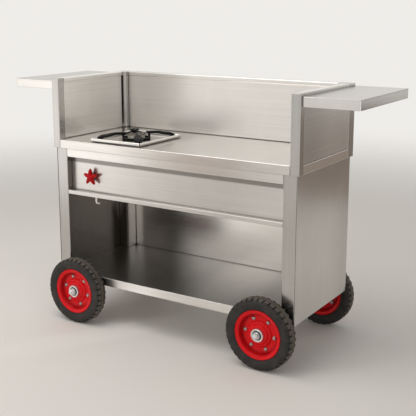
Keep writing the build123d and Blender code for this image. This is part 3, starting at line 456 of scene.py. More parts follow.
def tyre_rubber():
    """Black rubber with a dusty tread and a faint bloom on its side."""
    look = finishes()
    paint = new_paint("tyre_rubber_dusty")
    place = paint.place()
    radius = wheel_radius(paint, place)
    grain = paint.noise(place, (700.0, 700.0, 700.0), 3.0)
    cloud = paint.noise(place, (26.0, 26.0, 26.0), 5.0, 0.62)
    scuff = paint.noise(place, (110.0, 110.0, 110.0), 4.0, 0.6)
    tread_edge = (0.1478, 0.1512)
    tread = paint.step(radius, *tread_edge) * (0.35 + scuff * 0.9)
    bloom = paint.step(cloud, 0.42, 0.78) * 0.24
    worn = tread * (0.45 + cloud * 0.9) + bloom * (1.0 - tread)
    return paint.finish({
        "Base Color": paint.blend(worn, look.rubber, look.dust),
        "Roughness": 0.58 + cloud * 0.14 + tread * 0.22,
        "Specular IOR Level": 0.30,
        "Normal": paint.bump(grain * 0.6 + scuff * 0.7, 0.0007, 0.30),
    })


def smooth_coat(name, tint, rough, coat, grain, depth, gloss=0.3):
    """Paint, enamel or moulded plastic with a fine uneven skin."""
    paint = new_paint(name)
    place = paint.place()
    skin = paint.noise(place, (grain, grain, grain), 3.0)
    cloud = paint.noise(place, (30.0, 30.0, 30.0), 4.0)
    shade = scaled(tint, 0.62)
    return paint.finish({
        "Base Color": paint.blend(paint.step(cloud, 0.35, 0.8) * 0.6, tint, shade),
        "Roughness": rough - 0.05 + cloud * 0.12,
        "Specular IOR Level": gloss,
        "Coat Weight": coat,
        "Coat Roughness": 0.07,
        "Normal": paint.bump(skin, depth, 0.25),
    })


def cast_alloy():
    """Matt cast alloy, pale with brown heat marks and a burnt crown."""
    look = finishes()
    paint = new_paint("burner_cast_alloy")
    place = paint.place()
    grain = paint.noise(place, (520.0, 520.0, 520.0), 3.0)
    heat = paint.step(paint.noise(place, (55.0, 55.0, 55.0), 4.0, 0.6), 0.46, 0.74)
    burnt = (0.30, 0.22, 0.15)
    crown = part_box("burner_cap")[1].z
    black = paint.step(paint.parts(place)[2], crown - 0.0036, crown - 0.0024)
    stained = paint.blend(heat * 0.6, look.alloy, burnt)
    return paint.finish({
        "Base Color": paint.blend(black * 0.92, stained, look.shade_and_grime),
        "Metallic": 0.75 - heat * 0.35,
        "Roughness": 0.42 + grain * 0.14 + heat * 0.12,
        "Normal": paint.bump(grain, 0.0006, 0.35),
    })


def round_angles(count):
    """Angles in equal steps round a circle."""
    return [2 * math.pi * number / count for number in range(count)]


class Shape:
    """Points and faces of one piece, gathered before they become a mesh."""

    def __init__(self):
        self.points = []
        self.faces = []

    def grid(self, rows, wrap_rows, wrap_columns):
        """Joins rows of points, each as long as the next, by four-sided faces."""
        start = len(self.points)
        count = len(rows[0])
        for row in rows:
            self.points.extend(row)
        for number in range(len(rows) if wrap_rows else len(rows) - 1):
            near = start + number * count
            far = start + (number + 1) % len(rows) * count
            for column in range(count if wrap_columns else count - 1):
                after = (column + 1) % count
                self.faces.append((near + column, near + after, far + after, far + column))

    def lid(self, row):
        """Closes a ring of points with one face."""
        start = len(self.points)
        self.points.extend(row)
        self.faces.append(tuple(range(start, start + len(row))))

    def loft(self, rows):
        """A closed body through rings of points, with a lid at each end."""
        self.grid(rows, False, True)
        self.lid(rows[0])
        self.lid(rows[-1])

    def turned(self, place, profile, steps, closed=True):
        """A section of radii and heights turned about its own z axis."""
        rows = []
        for turn in round_angles(steps):
            rows.append([place @ Vector((r * math.cos(turn), r * math.sin(turn), h)) for r, h in profile])
        self.grid(rows, True, closed)

    def made(self, name, finish, crease=CREASE):
        """Makes the mesh and its object."""
        work = bmesh.new()
        corners = [work.verts.new(point) for point in self.points]
        for face in self.faces:
            work.faces.new([corners[number] for number in face])
        bmesh.ops.remove_doubles(work, verts=work.verts, dist=TINY)
        bmesh.ops.dissolve_degenerate(work, edges=work.edges, dist=TINY)
        bmesh.ops.recalc_face_normals(work, faces=work.faces)
        mesh = bpy.data.meshes.new(name)
        work.to_mesh(mesh)
        work.free()
        mesh.polygons.foreach_set("use_smooth", [True] * len(mesh.polygons))
        mesh.set_sharp_from_angle(angle=math.radians(crease))
        mesh.materials.append(finish)
        made = bpy.data.objects.new(name, mesh)
        bpy.context.scene.collection.objects.link(made)
        return made

    def piece(self, name, finish, body, nodes=(), slot=None, crease=CREASE):
        """Makes a piece of the counter, sets it on its body and hides the solids it stands for."""
        piece = self.made(name, finish, crease)
        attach(piece, body)
        if nodes:
            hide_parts(*nodes)
        return piece


def dress(node, finish):
    """Gives a solid its finish."""
    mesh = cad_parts[node].data
    mesh.materials.clear()
    mesh.materials.append(finish)


def softened(points, radius, steps=4):
    """An open path with its corners rounded off."""
    path = [Vector(points[0])]
    for before, corner, after in zip(points, points[1:], points[2:]):
        corner = Vector(corner)
        to_before = Vector(before) - corner
        to_after = Vector(after) - corner
        start = corner + to_before.normalized() * min(radius, to_before.length * 0.45)
        end = corner + to_after.normalized() * min(radius, to_after.length * 0.45)
        for number in range(steps + 1):
            share_in = number / steps
            path.append(start.lerp(corner, share_in).lerp(corner.lerp(end, share_in), share_in))
    path.append(Vector(points[-1]))
    return [tuple(point) for point in path]


def wheel_place(wheel):
    """The frame of a wheel, with its own z axis pointing away from the counter."""
    low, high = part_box(wheel + "_tyre")
    end, turn = WHEELS[wheel]
    outward = Matrix.Rotation(math.radians(-90 * end), 4, "X")
    spin = Matrix.Rotation(math.radians(turn), 4, "Z")
    return Matrix.Translation((low + high) / 2) @ outward @ spin


TYRE_SIDE = [
    (0.0610, 0.0190, 0.0),
    (0.0545, 0.0213, 0.0),
    (0.0470, 0.0215, 0.0),
    (0.0466, 0.0252, 0.0),
    (0.0450, 0.0272, 0.0),
    (0.0428, 0.0283, 0.0),
    (0.0408, 0.0281, 0.0),
    (0.0392, 0.0292, 0.0),
    (0.0340, 0.0308, 0.0),
    (0.0268, 0.0317, 0.0),
    (0.0212, 0.0316, 0.0),
    (0.0198, 0.0320, 0.0),
    (0.0182, 0.0311, 0.0),
    (0.0125, 0.0302, 0.0),
    (0.0096, 0.0295, 0.0),
    (0.0082, 0.0288, 0.6),
    (0.0052, 0.0268, 1.0),
    (0.0024, 0.0234, 1.0),
    (0.0008, 0.0202, 1.0),
    (0.0000, 0.0168, 1.0),
    (0.0000, 0.0128, 1.0),
    (0.0000, 0.0118, 0.0),
]
TREAD_GROOVE = [(0.0, 0.0108), (1.0, 0.0103), (1.0, 0.0077), (0.0, 0.0072), (0.0, 0.0030)]
LUG_STEPS = [(0.0, 0.0), (0.18, 0.0), (0.345, 0.0), (0.37, 1.0)]
LUG_STEPS += [(0.50, 1.0), (0.63, 1.0), (0.655, 0.0), (0.82, 0.0)]


def tyre_section(sizes, radius, cut, swing):
    """Half of a tyre's section, from its foot to the middle of its tread."""
    section = []
    for drop, across, share_cut in TYRE_SIDE:
        depth = sizes.notch * share_cut * cut
        section.append((radius - drop - depth, across - 0.25 * depth * share_cut))
    for deep, across in TREAD_GROOVE:
        section.append((radius - deep * sizes.groove, across + swing * sizes.weave))
    return section


def lay_tyre(wheel, finish):
    """A tyre with a ribbed side, shoulder blocks and two weaving grooves."""
    sizes = bpy.context.scene.counter_wheels
    place = wheel_place(wheel)
    low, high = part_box(wheel + "_tyre")
    radius = (high.z - low.z) / 2
    steps = len(LUG_STEPS)
    rows = []
    for number in range(sizes.lugs * steps):
        part, cut = LUG_STEPS[number % steps]
        far_cut = LUG_STEPS[(number + steps // 2) % steps][1]
        angle = 2 * math.pi * (number // steps + part) / sizes.lugs
        swing = math.cos(2 * math.pi * part)
        near = tyre_section(sizes, radius, cut, swing)
        far = tyre_section(sizes, radius, far_cut, -swing)
        section = near + [(radius, 0.0)] + [(r, -m) for r, m in reversed(far)]
        rows.append([place @ Vector((r * math.cos(angle), r * math.sin(angle), m)) for r, m in section])
    shape = Shape()
    shape.grid(rows, True, True)
    shape.piece(wheel + "_treaded_tyre", finish, wheel + "_wheel", [wheel + "_tyre"], "tyre_rubber", 30.0)


def lay_rim(wheel, side, sign, finish):
    """One pressed half of a rim: a two-step boss, a flat disc, a sloping wall and a rolled edge."""
    soft = bpy.context.scene.counter_wheels.soft
    front = [
        (0.0282, 0.0185),
        (0.0400, 0.0185),
        (0.0440, 0.0100),
        (0.0520, 0.0100),
        (0.0560, 0.0025),
        (0.0800, 0.0025),
        (0.0890, 0.0245),
        (0.0985, 0.0255),
    ]
    back = [(r, m - 0.0024) for r, m in front]
    back[4:] = [(0.0545, 0.0002), (0.0814, 0.0002), (0.0904, 0.0222), (0.0985, 0.0228)]
    roll = []
    bead = 0.0030
    for number in range(11):
        angle = math.radians(160 - 32 * number)
        roll.append((0.1019 + bead * math.cos(angle), 0.0250 + bead * math.sin(angle)))
    profile = softened(front, soft) + roll + list(reversed(softened(back, soft)))
    shape = Shape()
    shape.turned(wheel_place(wheel), [(r, sign * m) for r, m in profile], 128)
    nodes = [f"{wheel}_{side}_rim"]
    shape.piece(f"{wheel}_{side}_pressing", finish, wheel + "_wheel", nodes, "rim_red", 50.0)


def lay_hub(wheel, plate, race, seal):
    """The hub sleeve, and at each end a bearing with a dark seal between its races."""
    place = wheel_place(wheel)
    body = wheel + "_wheel"
    sleeve = Shape()
    half = [(0.0180, 0.0160), (0.0235, 0.0160), (0.0235, 0.0290), (0.0241, 0.0297), (0.0250, 0.0300)]
    half += [(0.0268, 0.0300), (0.0276, 0.0297), (0.0280, 0.0290)]
    sleeve.turned(place, half + [(r, -m) for r, m in reversed(half)], 96)
    sleeve.piece(wheel + "_hub_sleeve", plate, body, [wheel + "_hub"], "hub_steel")
    races = Shape()
    seals = Shape()
    for end in (-1, 1):
        for inner, outer in ((0.0101, 0.0135), (0.0200, 0.0234)):
            ring = [(inner, 0.0162), (inner, 0.0294), (inner + 0.0006, 0.0299), (outer - 0.0006, 0.0299)]
            ring += [(outer, 0.0294), (outer, 0.0162)]
            races.turned(place, [(r, end * m) for r, m in ring], 64)
        ring = [(0.0134, 0.0165), (0.0134, 0.0284), (0.0150, 0.0289), (0.0168, 0.0286), (0.0184, 0.0290)]
        ring += [(0.0201, 0.0285), (0.0201, 0.0165)]
        seals.turned(place, [(r, end * m) for r, m in ring], 64)
    races.piece(wheel + "_bearing_races", race, body, [wheel + "_bearings"], "bearing_steel")
    seals.piece(wheel + "_bearing_seals", seal, body, (), "tyre_rubber")


def hexagon_rows(flats, levels, bore):
    """Profile rows of a hexagon with its corners turned off towards both faces."""
    rows = []
    low, high = levels
    steps = [0.0, 0.0005, 0.0010, 0.0016]
    heights = [low + s for s in steps] + [high - s for s in reversed(steps)]
    for angle in round_angles(48):
        swing = (angle + math.pi / 6) % (math.pi / 3) - math.pi / 6
        corner = flats / 2 / math.cos(swing)
        ring = [(bore, low)]
        for height in heights:
            edge = min(height - low, high - height)
            ring.append((min(corner, flats / 2 * 0.985 + edge * 1.7), height))
        ring.append((bore, high))
        rows.append([(r * math.cos(angle), r * math.sin(angle), h) for r, h in ring])
    return rows


def add_hexagon(shape, place, flats, levels, bore):
    """A nut between two levels, with a round bore."""
    rows = [[place @ Vector(point) for point in row] for row in hexagon_rows(flats, levels, bore)]
    shape.grid(rows, True, True)


def lay_rim_bolts(wheel, finish):
    """Six domed bolts on a flange, each with a nut behind the disc."""
    bolt_circle = 0.067
    place = wheel_place(wheel)
    shape = Shape()
    dome = [(0.0, -0.0098), (0.0043, -0.0098), (0.0050, -0.0090), (0.0050, 0.0022), (0.0085, 0.0026)]
    dome += [(0.0085, 0.0034), (0.0079, 0.0040), (0.0076, 0.0058), (0.0070, 0.0074), (0.0058, 0.0087)]
    dome += [(0.0040, 0.0093), (0.0020, 0.0095), (0.0, 0.0095)]
    for number in range(6):
        turn = Matrix.Rotation(math.pi * number / 3, 4, "Z")
        spot = place @ turn @ Matrix.Translation((bolt_circle, 0.0, 0.0))
        shape.turned(spot, dome, 28, False)
        add_hexagon(shape, spot, 0.0160, (-0.0105, -0.0025), 0.0050)
    nodes = [wheel + "_rim_bolts"]
    shape.piece(wheel + "_domed_bolts", finish, wheel + "_wheel", nodes, "bolt_steel")


def lay_axles(plate, bright):
    """Two stepped axles with threaded ends, and the washers and nuts that hold the wheels."""
    pitch = bpy.context.scene.counter_wheels.thread
    axles = Shape()
    washers = Shape()
    nuts = Shape()
    half = [(0.0, 0.3500), (0.0058, 0.3500), (0.0066, 0.3492)]
    height = 0.3480
    while height > 0.3275:
        half += [(0.0080, height), (0.0080, height - 0.3 * pitch), (0.0072, height - 0.65 * pitch)]
        height -= pitch
    half += [(0.0080, 0.3265), (0.0080, 0.3255), (0.0095, 0.3255), (0.0100, 0.3250), (0.0100, 0.2645)]
    half += [(0.0114, 0.2645), (0.0120, 0.2638)]
    profile = half + [(r, -h) for r, h in reversed(half)]
    ring = [(0.0083, 0.3256), (0.0083, 0.3284), (0.0150, 0.3285), (0.0155, 0.3281), (0.0155, 0.3259)]
    ring += [(0.0150, 0.3255)]
    for wheel in ("front_left", "front_right"):
        low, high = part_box(wheel + "_tyre")
        middle = Matrix.Translation(((low.x + high.x) / 2, 0.0, (low.z + high.z) / 2))
        for end in (-1, 1):
            outward = middle @ Matrix.Rotation(math.radians(-90 * end), 4, "X")
            twist = outward @ Matrix.Rotation(math.radians(17 + 9 * end + 30 * middle[0][3]), 4, "Z")
            washers.turned(outward, ring, 64)
            add_hexagon(nuts, twist, 0.0240, (0.3285, 0.3415), 0.0079)
        axles.turned(middle @ Matrix.Rotation(math.radians(90), 4, "X"), profile, 48, False)
    axles.piece("stepped_axles", plate, "counter", ["wheel_axles"], "chrome")
    washers.piece("axle_end_washers", bright, "counter", ["axle_washers"], "chrome")
    nuts.piece("axle_end_nuts", bright, "counter", ["axle_nuts"], "chrome")


def corners(low, high, inset):
    """The corners of a box's outline, seen from above and moved inwards."""
    return [
        Vector((low.x + inset, low.y + inset)),
        Vector((high.x - inset, low.y + inset)),
        Vector((high.x - inset, high.y - inset)),
        Vector((low.x + inset, high.y - inset)),
    ]


def lay_hob_tray(finish):
    """A tray floor on a low plinth, framed by four round-edged bars that nearly meet at the corners."""
    sizes = bpy.context.scene.counter_gas
    low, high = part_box("hob_tray")
    wide = 0.012
    foot = low.z + 0.004
    top = high.z
    inside = Vector((high.x - wide, high.y - wide))
    soft = sizes.bar_round
    section = [(0.0, foot)]
    for middle, start in (((soft, top - soft), 180), ((wide - soft, top - soft), 90)):
        for number in range(6):
            angle = math.radians(start - 18 * number)
            section.append((middle[0] + soft * math.cos(angle), middle[1] + soft * math.sin(angle)))
    section.append((wide, foot))
    shape = Shape()
    gap = sizes.slit / math.sqrt(2)
    ring = corners(low, high, 0.0)
    for number, start in enumerate(ring):
        end = ring[(number + 1) % 4]
        run = (end - start).normalized()
        inward = Vector((-run.y, run.x))
        rows = []
        for corner, direction in ((start, run), (end, -run)):
            row = []
            for across, height in section:
                spot = corner + inward * across + direction * (across + gap)
                row.append(Vector((spot.x, spot.y, height)))
            rows.append(row)
        shape.loft(rows)
    middle = Vector(((low.x + high.x) / 2, (low.y + high.y) / 2))
    hole = 0.017
    sheet = 0.0015
    rows = []
    for height in (foot, foot + sheet):
        outer = []
        inner = []
        for number in range(64):
            angle = 2 * math.pi * (number + 0.5) / 64
            way = Vector((math.cos(angle), math.sin(angle)))
            reach = min((inside.x - middle.x) / abs(way.x), (inside.y - middle.y) / abs(way.y))
            outer.append(Vector((*(middle + way * reach), height)))
            inner.append(Vector((*(middle + way * hole), height)))
        rows.append((outer, inner))
    shape.grid([rows[0][1], rows[0][0], rows[1][0], rows[1][1]], True, True)
    inset = 0.008
    skirt = []
    for edge, height in ((inset, low.z), (inset, foot), (wide, foot), (wide, low.z)):
        skirt.append([Vector((*spot, height)) for spot in corners(low, high, edge)])
    shape.grid(skirt, True, True)
    shape.piece("framed_hob_tray", finish, "counter", ["hob_tray"], "stainless")


def hob_middle():
    """Where the burner's middle is, seen from above."""
    low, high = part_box("burner_cap")
    return (low.x + high.x) / 2, (low.y + high.y) / 2


def lay_burner(finish):
    """A cup with a throat under it, and a ported cap with a dished crown."""
    x, y = hob_middle()
    low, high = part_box("burner_body")
    cup = Shape()
    floor = high.z - 0.0125
    profile = [(0.011, low.z), (0.0142, low.z), (0.015, low.z + 0.0008), (0.015, floor - 0.002)]
    profile += [(0.0150, floor), (0.0385, floor), (0.0395, floor + 0.0010), (0.0398, floor + 0.0035)]
    profile += [(0.0388, floor + 0.0045), (0.0388, floor + 0.0062), (0.0398, floor + 0.0072)]
    profile += [(0.0400, high.z - 0.0012), (0.0392, high.z), (0.0352, high.z), (0.0350, floor + 0.0035)]
    profile += [(0.0110, floor + 0.0035)]
    cup.turned(Matrix.Translation((x, y, 0.0)), profile, 72)
    cup.piece("burner_cup", finish, "counter", ["burner_body"], "burner_alloy")
    low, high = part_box("burner_cap")
    seat = high.z - 0.008
    crown = [(0.0, low.z, 0), (0.0340, low.z, 0), (0.0346, low.z + 0.0006, 0), (0.0346, seat, 0)]
    crown += [(0.0404, seat, 1), (0.0410, seat + 0.0006, 1), (0.0410, seat + 0.0030, 1)]
    crown += [(0.0410, seat + 0.0034, 0)]
    crown += [(0.0409, high.z - 0.0028, 0), (0.0402, high.z - 0.0014, 0), (0.0385, high.z - 0.0003, 0)]
    crown += [(0.0362, high.z, 0), (0.0300, high.z - 0.0006, 0), (0.0270, high.z - 0.0014, 0)]
    crown += [(0.0120, high.z - 0.0017, 0), (0.0095, high.z - 0.0008, 0), (0.0060, high.z - 0.0004, 0)]
    crown += [(0.0, high.z - 0.0004, 0)]
    ports = 24
    port_depth = 0.0050
    steps = [(0.0, 0), (0.28, 0), (0.36, 1), (0.64, 1), (0.72, 0)]
    rows = []
    for number in range(ports * len(steps)):
        part, cut = steps[number % len(steps)]
        angle = 2 * math.pi * (number // len(steps) + part) / ports
        way = Vector((math.cos(angle), math.sin(angle)))
        row = []
        for radius, height, ported in crown:
            inner = radius - port_depth * cut * ported
            row.append(Vector((x + way.x * inner, y + way.y * inner, height)))
        rows.append(row)
    cap = Shape()
    cap.grid(rows, True, False)
    cap.piece("ported_burner_cap", finish, "cap", ["burner_cap"], "burner_alloy")


def soft_square(steps, power):
    """Points round a circle of radius 1 that is filled out towards a square."""
    points = []
    for angle in round_angles(steps):
        ways = (math.cos(angle), math.sin(angle))
        points.append([math.copysign(abs(way) ** power, way) for way in ways])
    return points


def arm_section(spot, run, width, low, high):
    """A rounded ring of points across an arm."""
    side = Vector((-run.y, run.x))
    middle = (low + high) / 2
    half = (high - low) / 2
    ring = []
    for across, rise in soft_square(16, 0.6):
        point = spot + side * (across * width / 2)
        ring.append(Vector((point.x, point.y, middle + rise * half)))
    return ring


def round_section(middle, wide, tall, steps=20):
    """Radii and heights round a bar with soft corners."""
    x, y = middle
    return [(x + across * wide / 2, y + rise * tall / 2) for across, rise in soft_square(steps, 0.5)]


def arm_profile(tip, leaf_start, reach, low, top, deep):
    """Stations along an arm of the pan support, as distance out, underside and upper side."""
    end = top - 0.010
    stations = [(tip, top - deep * 0.50, top - 0.0015), (tip + 0.003, top - deep * 0.75, top)]
    stations += [(tip + 0.009, top - deep, top), (leaf_start, top - deep, top)]
    for number in range(1, 13):
        part = number / 12
        out = leaf_start + (reach - 0.030 - leaf_start) * part
        drop = part * part * (3 - 2 * part)
        stations.append((out, top - deep - 0.009 * drop, top - 0.0075 * drop))
    stations += [(reach - 0.024, end - deep - 0.004, end + 0.0012)]
    stations += [(reach - 0.017, low + 0.002, end - 0.0005)]
    stations += [(reach - 0.014, low, end - 0.002), (reach - 0.004, low, low + deep + 0.004)]
    stations += [(reach - 0.001, low, low + deep + 0.001), (reach, low + 0.001, low + deep * 0.8)]
    return stations


def lay_pan_support(finish):
    """Four leaf-shaped arms that reach the tray's corners, on a low ring round the burner."""
    sizes = bpy.context.scene.counter_gas
    x, y = hob_middle()
    middle = Vector((x, y))
    low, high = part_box("pan_support")
    tray_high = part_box("hob_tray")[1]
    cap_low, cap_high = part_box("burner_cap")
    bar_wide = 0.010
    bar_tall = 0.008
    rim = 0.012
    ring = (cap_high.x - cap_low.x) / 2 + 0.019
    tip = ring - 0.014
    leaf_start = ring + 0.033
    corner = Vector((tray_high.x - rim, tray_high.y - rim)) - middle
    reach = corner.length - 0.016
    shape = Shape()
    bar = round_section((ring, low.z + bar_tall / 2), bar_wide, bar_tall)
    shape.turned(Matrix.Translation((x, y, 0.0)), bar, 96)
    for side in (-1, 1):
        for end in (-1, 1):
            run = Vector((side * corner.x, end * corner.y)).normalized()
            rows = []
            for out, lower, upper in arm_profile(tip, leaf_start, reach, low.z, high.z, sizes.arm):
                part = max(0.0, (out - leaf_start) / (reach - leaf_start))
                width = sizes.neck + (sizes.leaf - sizes.neck) * math.sin(math.pi * part)
                rows.append(arm_section(middle + run * out, run, width, lower, upper))
            shape.loft(rows)
            leg = []
            for height in (low.z, low.z + 0.001, high.z - sizes.arm * 0.6):
                tight = 0.9 if height == low.z else 1.0
                row = []
                section = round_section((0.0, 0.0), bar_wide * tight, sizes.neck * 0.96 * tight, 16)
                for along_run, across in section:
                    spot = middle + run * (ring + along_run) + Vector((-run.y, run.x)) * across
                    row.append(Vector((spot.x, spot.y, height)))
                leg.append(row)
            shape.loft(leg)
    shape.piece("leaf_pan_support", finish, "support", ["pan_support"], "cast_iron", 60.0)


def star_edge(angle, radius, valley, tip):
    """How far out a five-point star with round tips reaches at an angle from one of its points."""
    lobe = 2 * math.pi / 5
    swing = abs((angle + lobe / 2) % lobe - lobe / 2)
    valley_x = valley * math.cos(lobe / 2)
    valley_y = valley * math.sin(lobe / 2)
    inset = radius - tip - valley_x
    slim = 1 - (tip / valley_y) ** 2
    apex = valley_x + (inset + math.sqrt(inset**2 - slim * (inset**2 - tip**2))) / slim
    lean = math.atan2(valley_y, apex - valley_x)
    straight = apex * math.sin(lean) / math.sin(lean + swing)
    centre = radius - tip
    inside = tip**2 - (centre * math.sin(swing)) ** 2
    touch = math.atan2(tip * math.cos(lean), centre + tip * math.sin(lean))
    if swing < touch and inside > 0:
        return centre * math.cos(swing) + math.sqrt(inside)
    return straight


def lay_knob(finish):
    """A full, rounded star on a short neck."""
    sizes = bpy.context.scene.counter_gas
    low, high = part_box("star_knob")
    x = (low.x + high.x) / 2
    radius = 0.040
    valley = 0.017
    tip = 0.0055
    thick = 0.020
    z = high.z - radius
    back = low.y + thick
    count = 160
    turns = round_angles(count)
    edges = [star_edge(turn, radius, valley, tip) for turn in turns]
    for smoothing in range(3):
        edges = [(edges[n - 1] + 2 * edges[n] + edges[(n + 1) % count]) / 4 for n in range(count)]
    edges = [edge * radius / max(edges) for edge in edges]
    rows = []
    profile = [(0.62, 0.0), (0.86, 0.0)]
    for number in range(1, 8):
        angle = math.pi / 2 * number / 7
        profile.append((0.86 + 0.14 * math.sin(angle), 0.30 * (1 - math.cos(angle))))
    for number in range(1, 15):
        inset = 1 - number / 14
        crown = (1 - inset ** (1.0 + 1.6 * sizes.puff)) ** 0.62
        profile.append((inset, 0.30 + 0.70 * crown))
    for turn, edge in zip(turns, edges):
        row = []
        for scale, depth in profile:
            reach = edge * scale
            spot = (x + reach * math.sin(turn), back - thick * depth, z + reach * math.cos(turn))
            row.append(Vector(spot))
        rows.append(row)
    shape = Shape()
    shape.grid(rows, True, False)
    neck = Matrix.Translation((x, back, z)) @ Matrix.Rotation(math.radians(-90), 4, "X")
    collar = [(0.0042, -0.002), (0.0132, -0.002), (0.0126, 0.001), (0.0120, 0.002), (0.0120, 0.0034)]
    collar += [(0.0114, 0.0039), (0.0042, 0.0039)]
    shape.turned(neck, collar, 48)
    shape.piece("moulded_star_knob", finish, "knob", ["star_knob"], "knob_red", 60.0)


def lay_elbow(finish):
    """A plated tube that hangs from the tap and turns into a ribbed tail for a hose."""
    low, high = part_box("inlet_elbow")
    radius = 0.0046
    bend = 0.008
    x = low.x + 0.004
    y = (low.y + high.y) / 2
    foot = low.z + radius
    stations = [((x, high.z), (0.0, -1.0), radius), ((x, foot + bend + 0.010), (0.0, -1.0), radius)]
    for number in range(9):
        angle = math.pi / 2 * number / 8
        spot = (x + bend * (1 - math.cos(angle)), foot + bend * (1 - math.sin(angle)))
        stations.append((spot, (math.sin(angle), -math.cos(angle)), radius))
    tail = x + bend
    ribs = [(0.001, 1.0), (0.0025, 1.06), (0.0027, 0.92), (0.0055, 1.06), (0.0057, 0.92), (0.0085, 1.06)]
    ribs += [(0.0087, 0.92), (0.0112, 1.0), (0.012, 0.82)]
    for along_tail, swell in ribs:
        stations.append(((tail + along_tail, foot), (1.0, 0.0), radius * swell))
    rows = []
    for (sx, sz), (dx, dz), size in stations:
        row = []
        for angle in round_angles(24):
            out = size * math.cos(angle)
            row.append(Vector((sx - dz * out, y + size * math.sin(angle), sz + dx * out)))
        rows.append(row)
    shape = Shape()
    shape.loft(rows)
    shape.piece("ribbed_inlet_elbow", finish, "counter", ["inlet_elbow"], "nickel")


class COUNTER_OT_steelwork(bpy.types.Operator):
    """Brush the cabinet, worktop, guards and end shelves"""

    bl_idname = "counter.steelwork"
    bl_label = "Steelwork"

    def execute(self, context):
        look = finishes()
        rough = look.steel_rough
        dull = rough + 0.08
        polish = look.shelf_rough
        # Columns: finish name, solids, brushing axis, roughness, tint, mask, corner shade weight, flat. The
        # tint makes brighter and darker copies of one steel, as painted light and shade.
        kinds = (
            ("steel_brushed_lengthways", FRAMES, "x", rough, 1.0, None, 0.35, False),
            ("steel_brushed_back", ["back_panel"], "x", rough, 1.13, None, 0.10, False),
            ("steel_brushed_guard", BACK_GUARD, "x", rough + 0.12, 1.12, guard_soot, 0.10, False),
            ("steel_brushed_crossways", SHEET_ALONG_Y, "y", dull, 1.18, guard_end_painted_shade, 0.10, False),
            ("steel_brushed_upright", POSTS, "z", rough, 0.70, post_painted_shade, 0.10, False),
            ("steel_brushed_sides", SIDES, "z", rough, 1.0, side_panel_painted_shade, 0.12, False),
            ("steel_brushed_shelf", ["bottom_shelf"], "x", dull, 1.1, shelf_painted_shade, 0.10, True),
            ("steel_brushed_fascia", ["fascia_panel"], "x", rough + 0.07, 0.96, fascia_painted_shade, 0.35, False),
            ("steel_brushed_worktop", ["worktop"], "x", rough - 0.02, 1.15, worktop_soot, 0.10, True),
            ("steel_polished_shelves", SHELVES, "x", polish, 0.97, end_shelf_painted_shade, 0.35, True),
        )
        for name, nodes, *settings in kinds:
            finish = brushed_steel(name, *settings)
            for node in nodes:
                dress(node, finish)
        return {"FINISHED"}


class COUNTER_OT_wheels(bpy.types.Operator):
    """Build the four wheels on their hubs"""

    bl_idname = "counter.wheels"
    bl_label = "Wheels"

    def execute(self, context):
        look = finishes()
        rubber = tyre_rubber()
        red = rim_paint()
        plate = bright_plate("hub_bright_plate", look.chrome, 0.14)
        race = bright_plate("bearing_ground_steel", look.chrome, 0.22)
        zinc = bright_plate("bolt_dull_zinc", look.zinc, 0.30)
        seal = smooth_coat("bearing_seal_black", (0.012, 0.012, 0.012), 0.45, 0.0, 500.0, 0.0004)
        for wheel in WHEELS:
            lay_tyre(wheel, rubber)
            lay_rim(wheel, "outer", 1, red)
            lay_rim(wheel, "inner", -1, red)
            lay_hub(wheel, plate, race, seal)
            lay_rim_bolts(wheel, zinc)
        return {"FINISHED"}


class COUNTER_OT_running_gear(bpy.types.Operator):
    """Build the axles and their nuts, and paint the brackets and bolts"""

    bl_idname = "counter.running_gear"
    bl_label = "Running gear"

    def execute(self, context):
        look = finishes()
        turned = bright_plate("axle_turned_steel", look.chrome, 0.24)
        lay_axles(turned, bright_plate("nut_bright", look.chrome, 0.12))
        dress("axle_brackets", smooth_coat("bracket_dark_paint", look.paint, 0.42, 0.1, 240.0, 0.0006))
        dress("frame_bolts", bright_plate("frame_bolt_zinc", look.zinc, 0.32))
        return {"FINISHED"}


class COUNTER_OT_gas_ring(bpy.types.Operator):
    """Build the hob tray, the burner and the pan support"""

    bl_idname = "counter.gas_ring"
    bl_label = "Gas ring"

    def execute(self, context):
        look = finishes()
        # The hob tray's steel is made 1.10 times brighter, as painted light.
        lay_hob_tray(brushed_steel("steel_hob_tray", "x", look.shelf_rough, 1.10, tray_soot))
        lay_burner(cast_alloy())
        lay_pan_support(smooth_coat("iron_black_enamel", look.iron, 0.45, 0.03, 320.0, 0.0010, 0.12))
        return {"FINISHED"}


class COUNTER_OT_gas_tap(bpy.types.Operator):
    """Build the star knob and the inlet, and finish the tap and its pipe"""

    bl_idname = "counter.gas_tap"
    bl_label = "Gas tap"

    def execute(self, context):
        look = finishes()
        lay_knob(smooth_coat("knob_red_plastic", look.knob, 0.34, 0.05, 380.0, 0.0004, 0.12))
        lay_elbow(bright_plate("inlet_nickel", (0.95, 0.92, 0.87), 0.30))
        brass = bright_plate("tap_brass", look.brass, 0.26)
        dress("valve_spindle", brass)
        dress("gas_valve", brass)
        dress("feed_pipe", bright_plate("feed_copper", look.copper, 0.26))
        return {"FINISHED"}


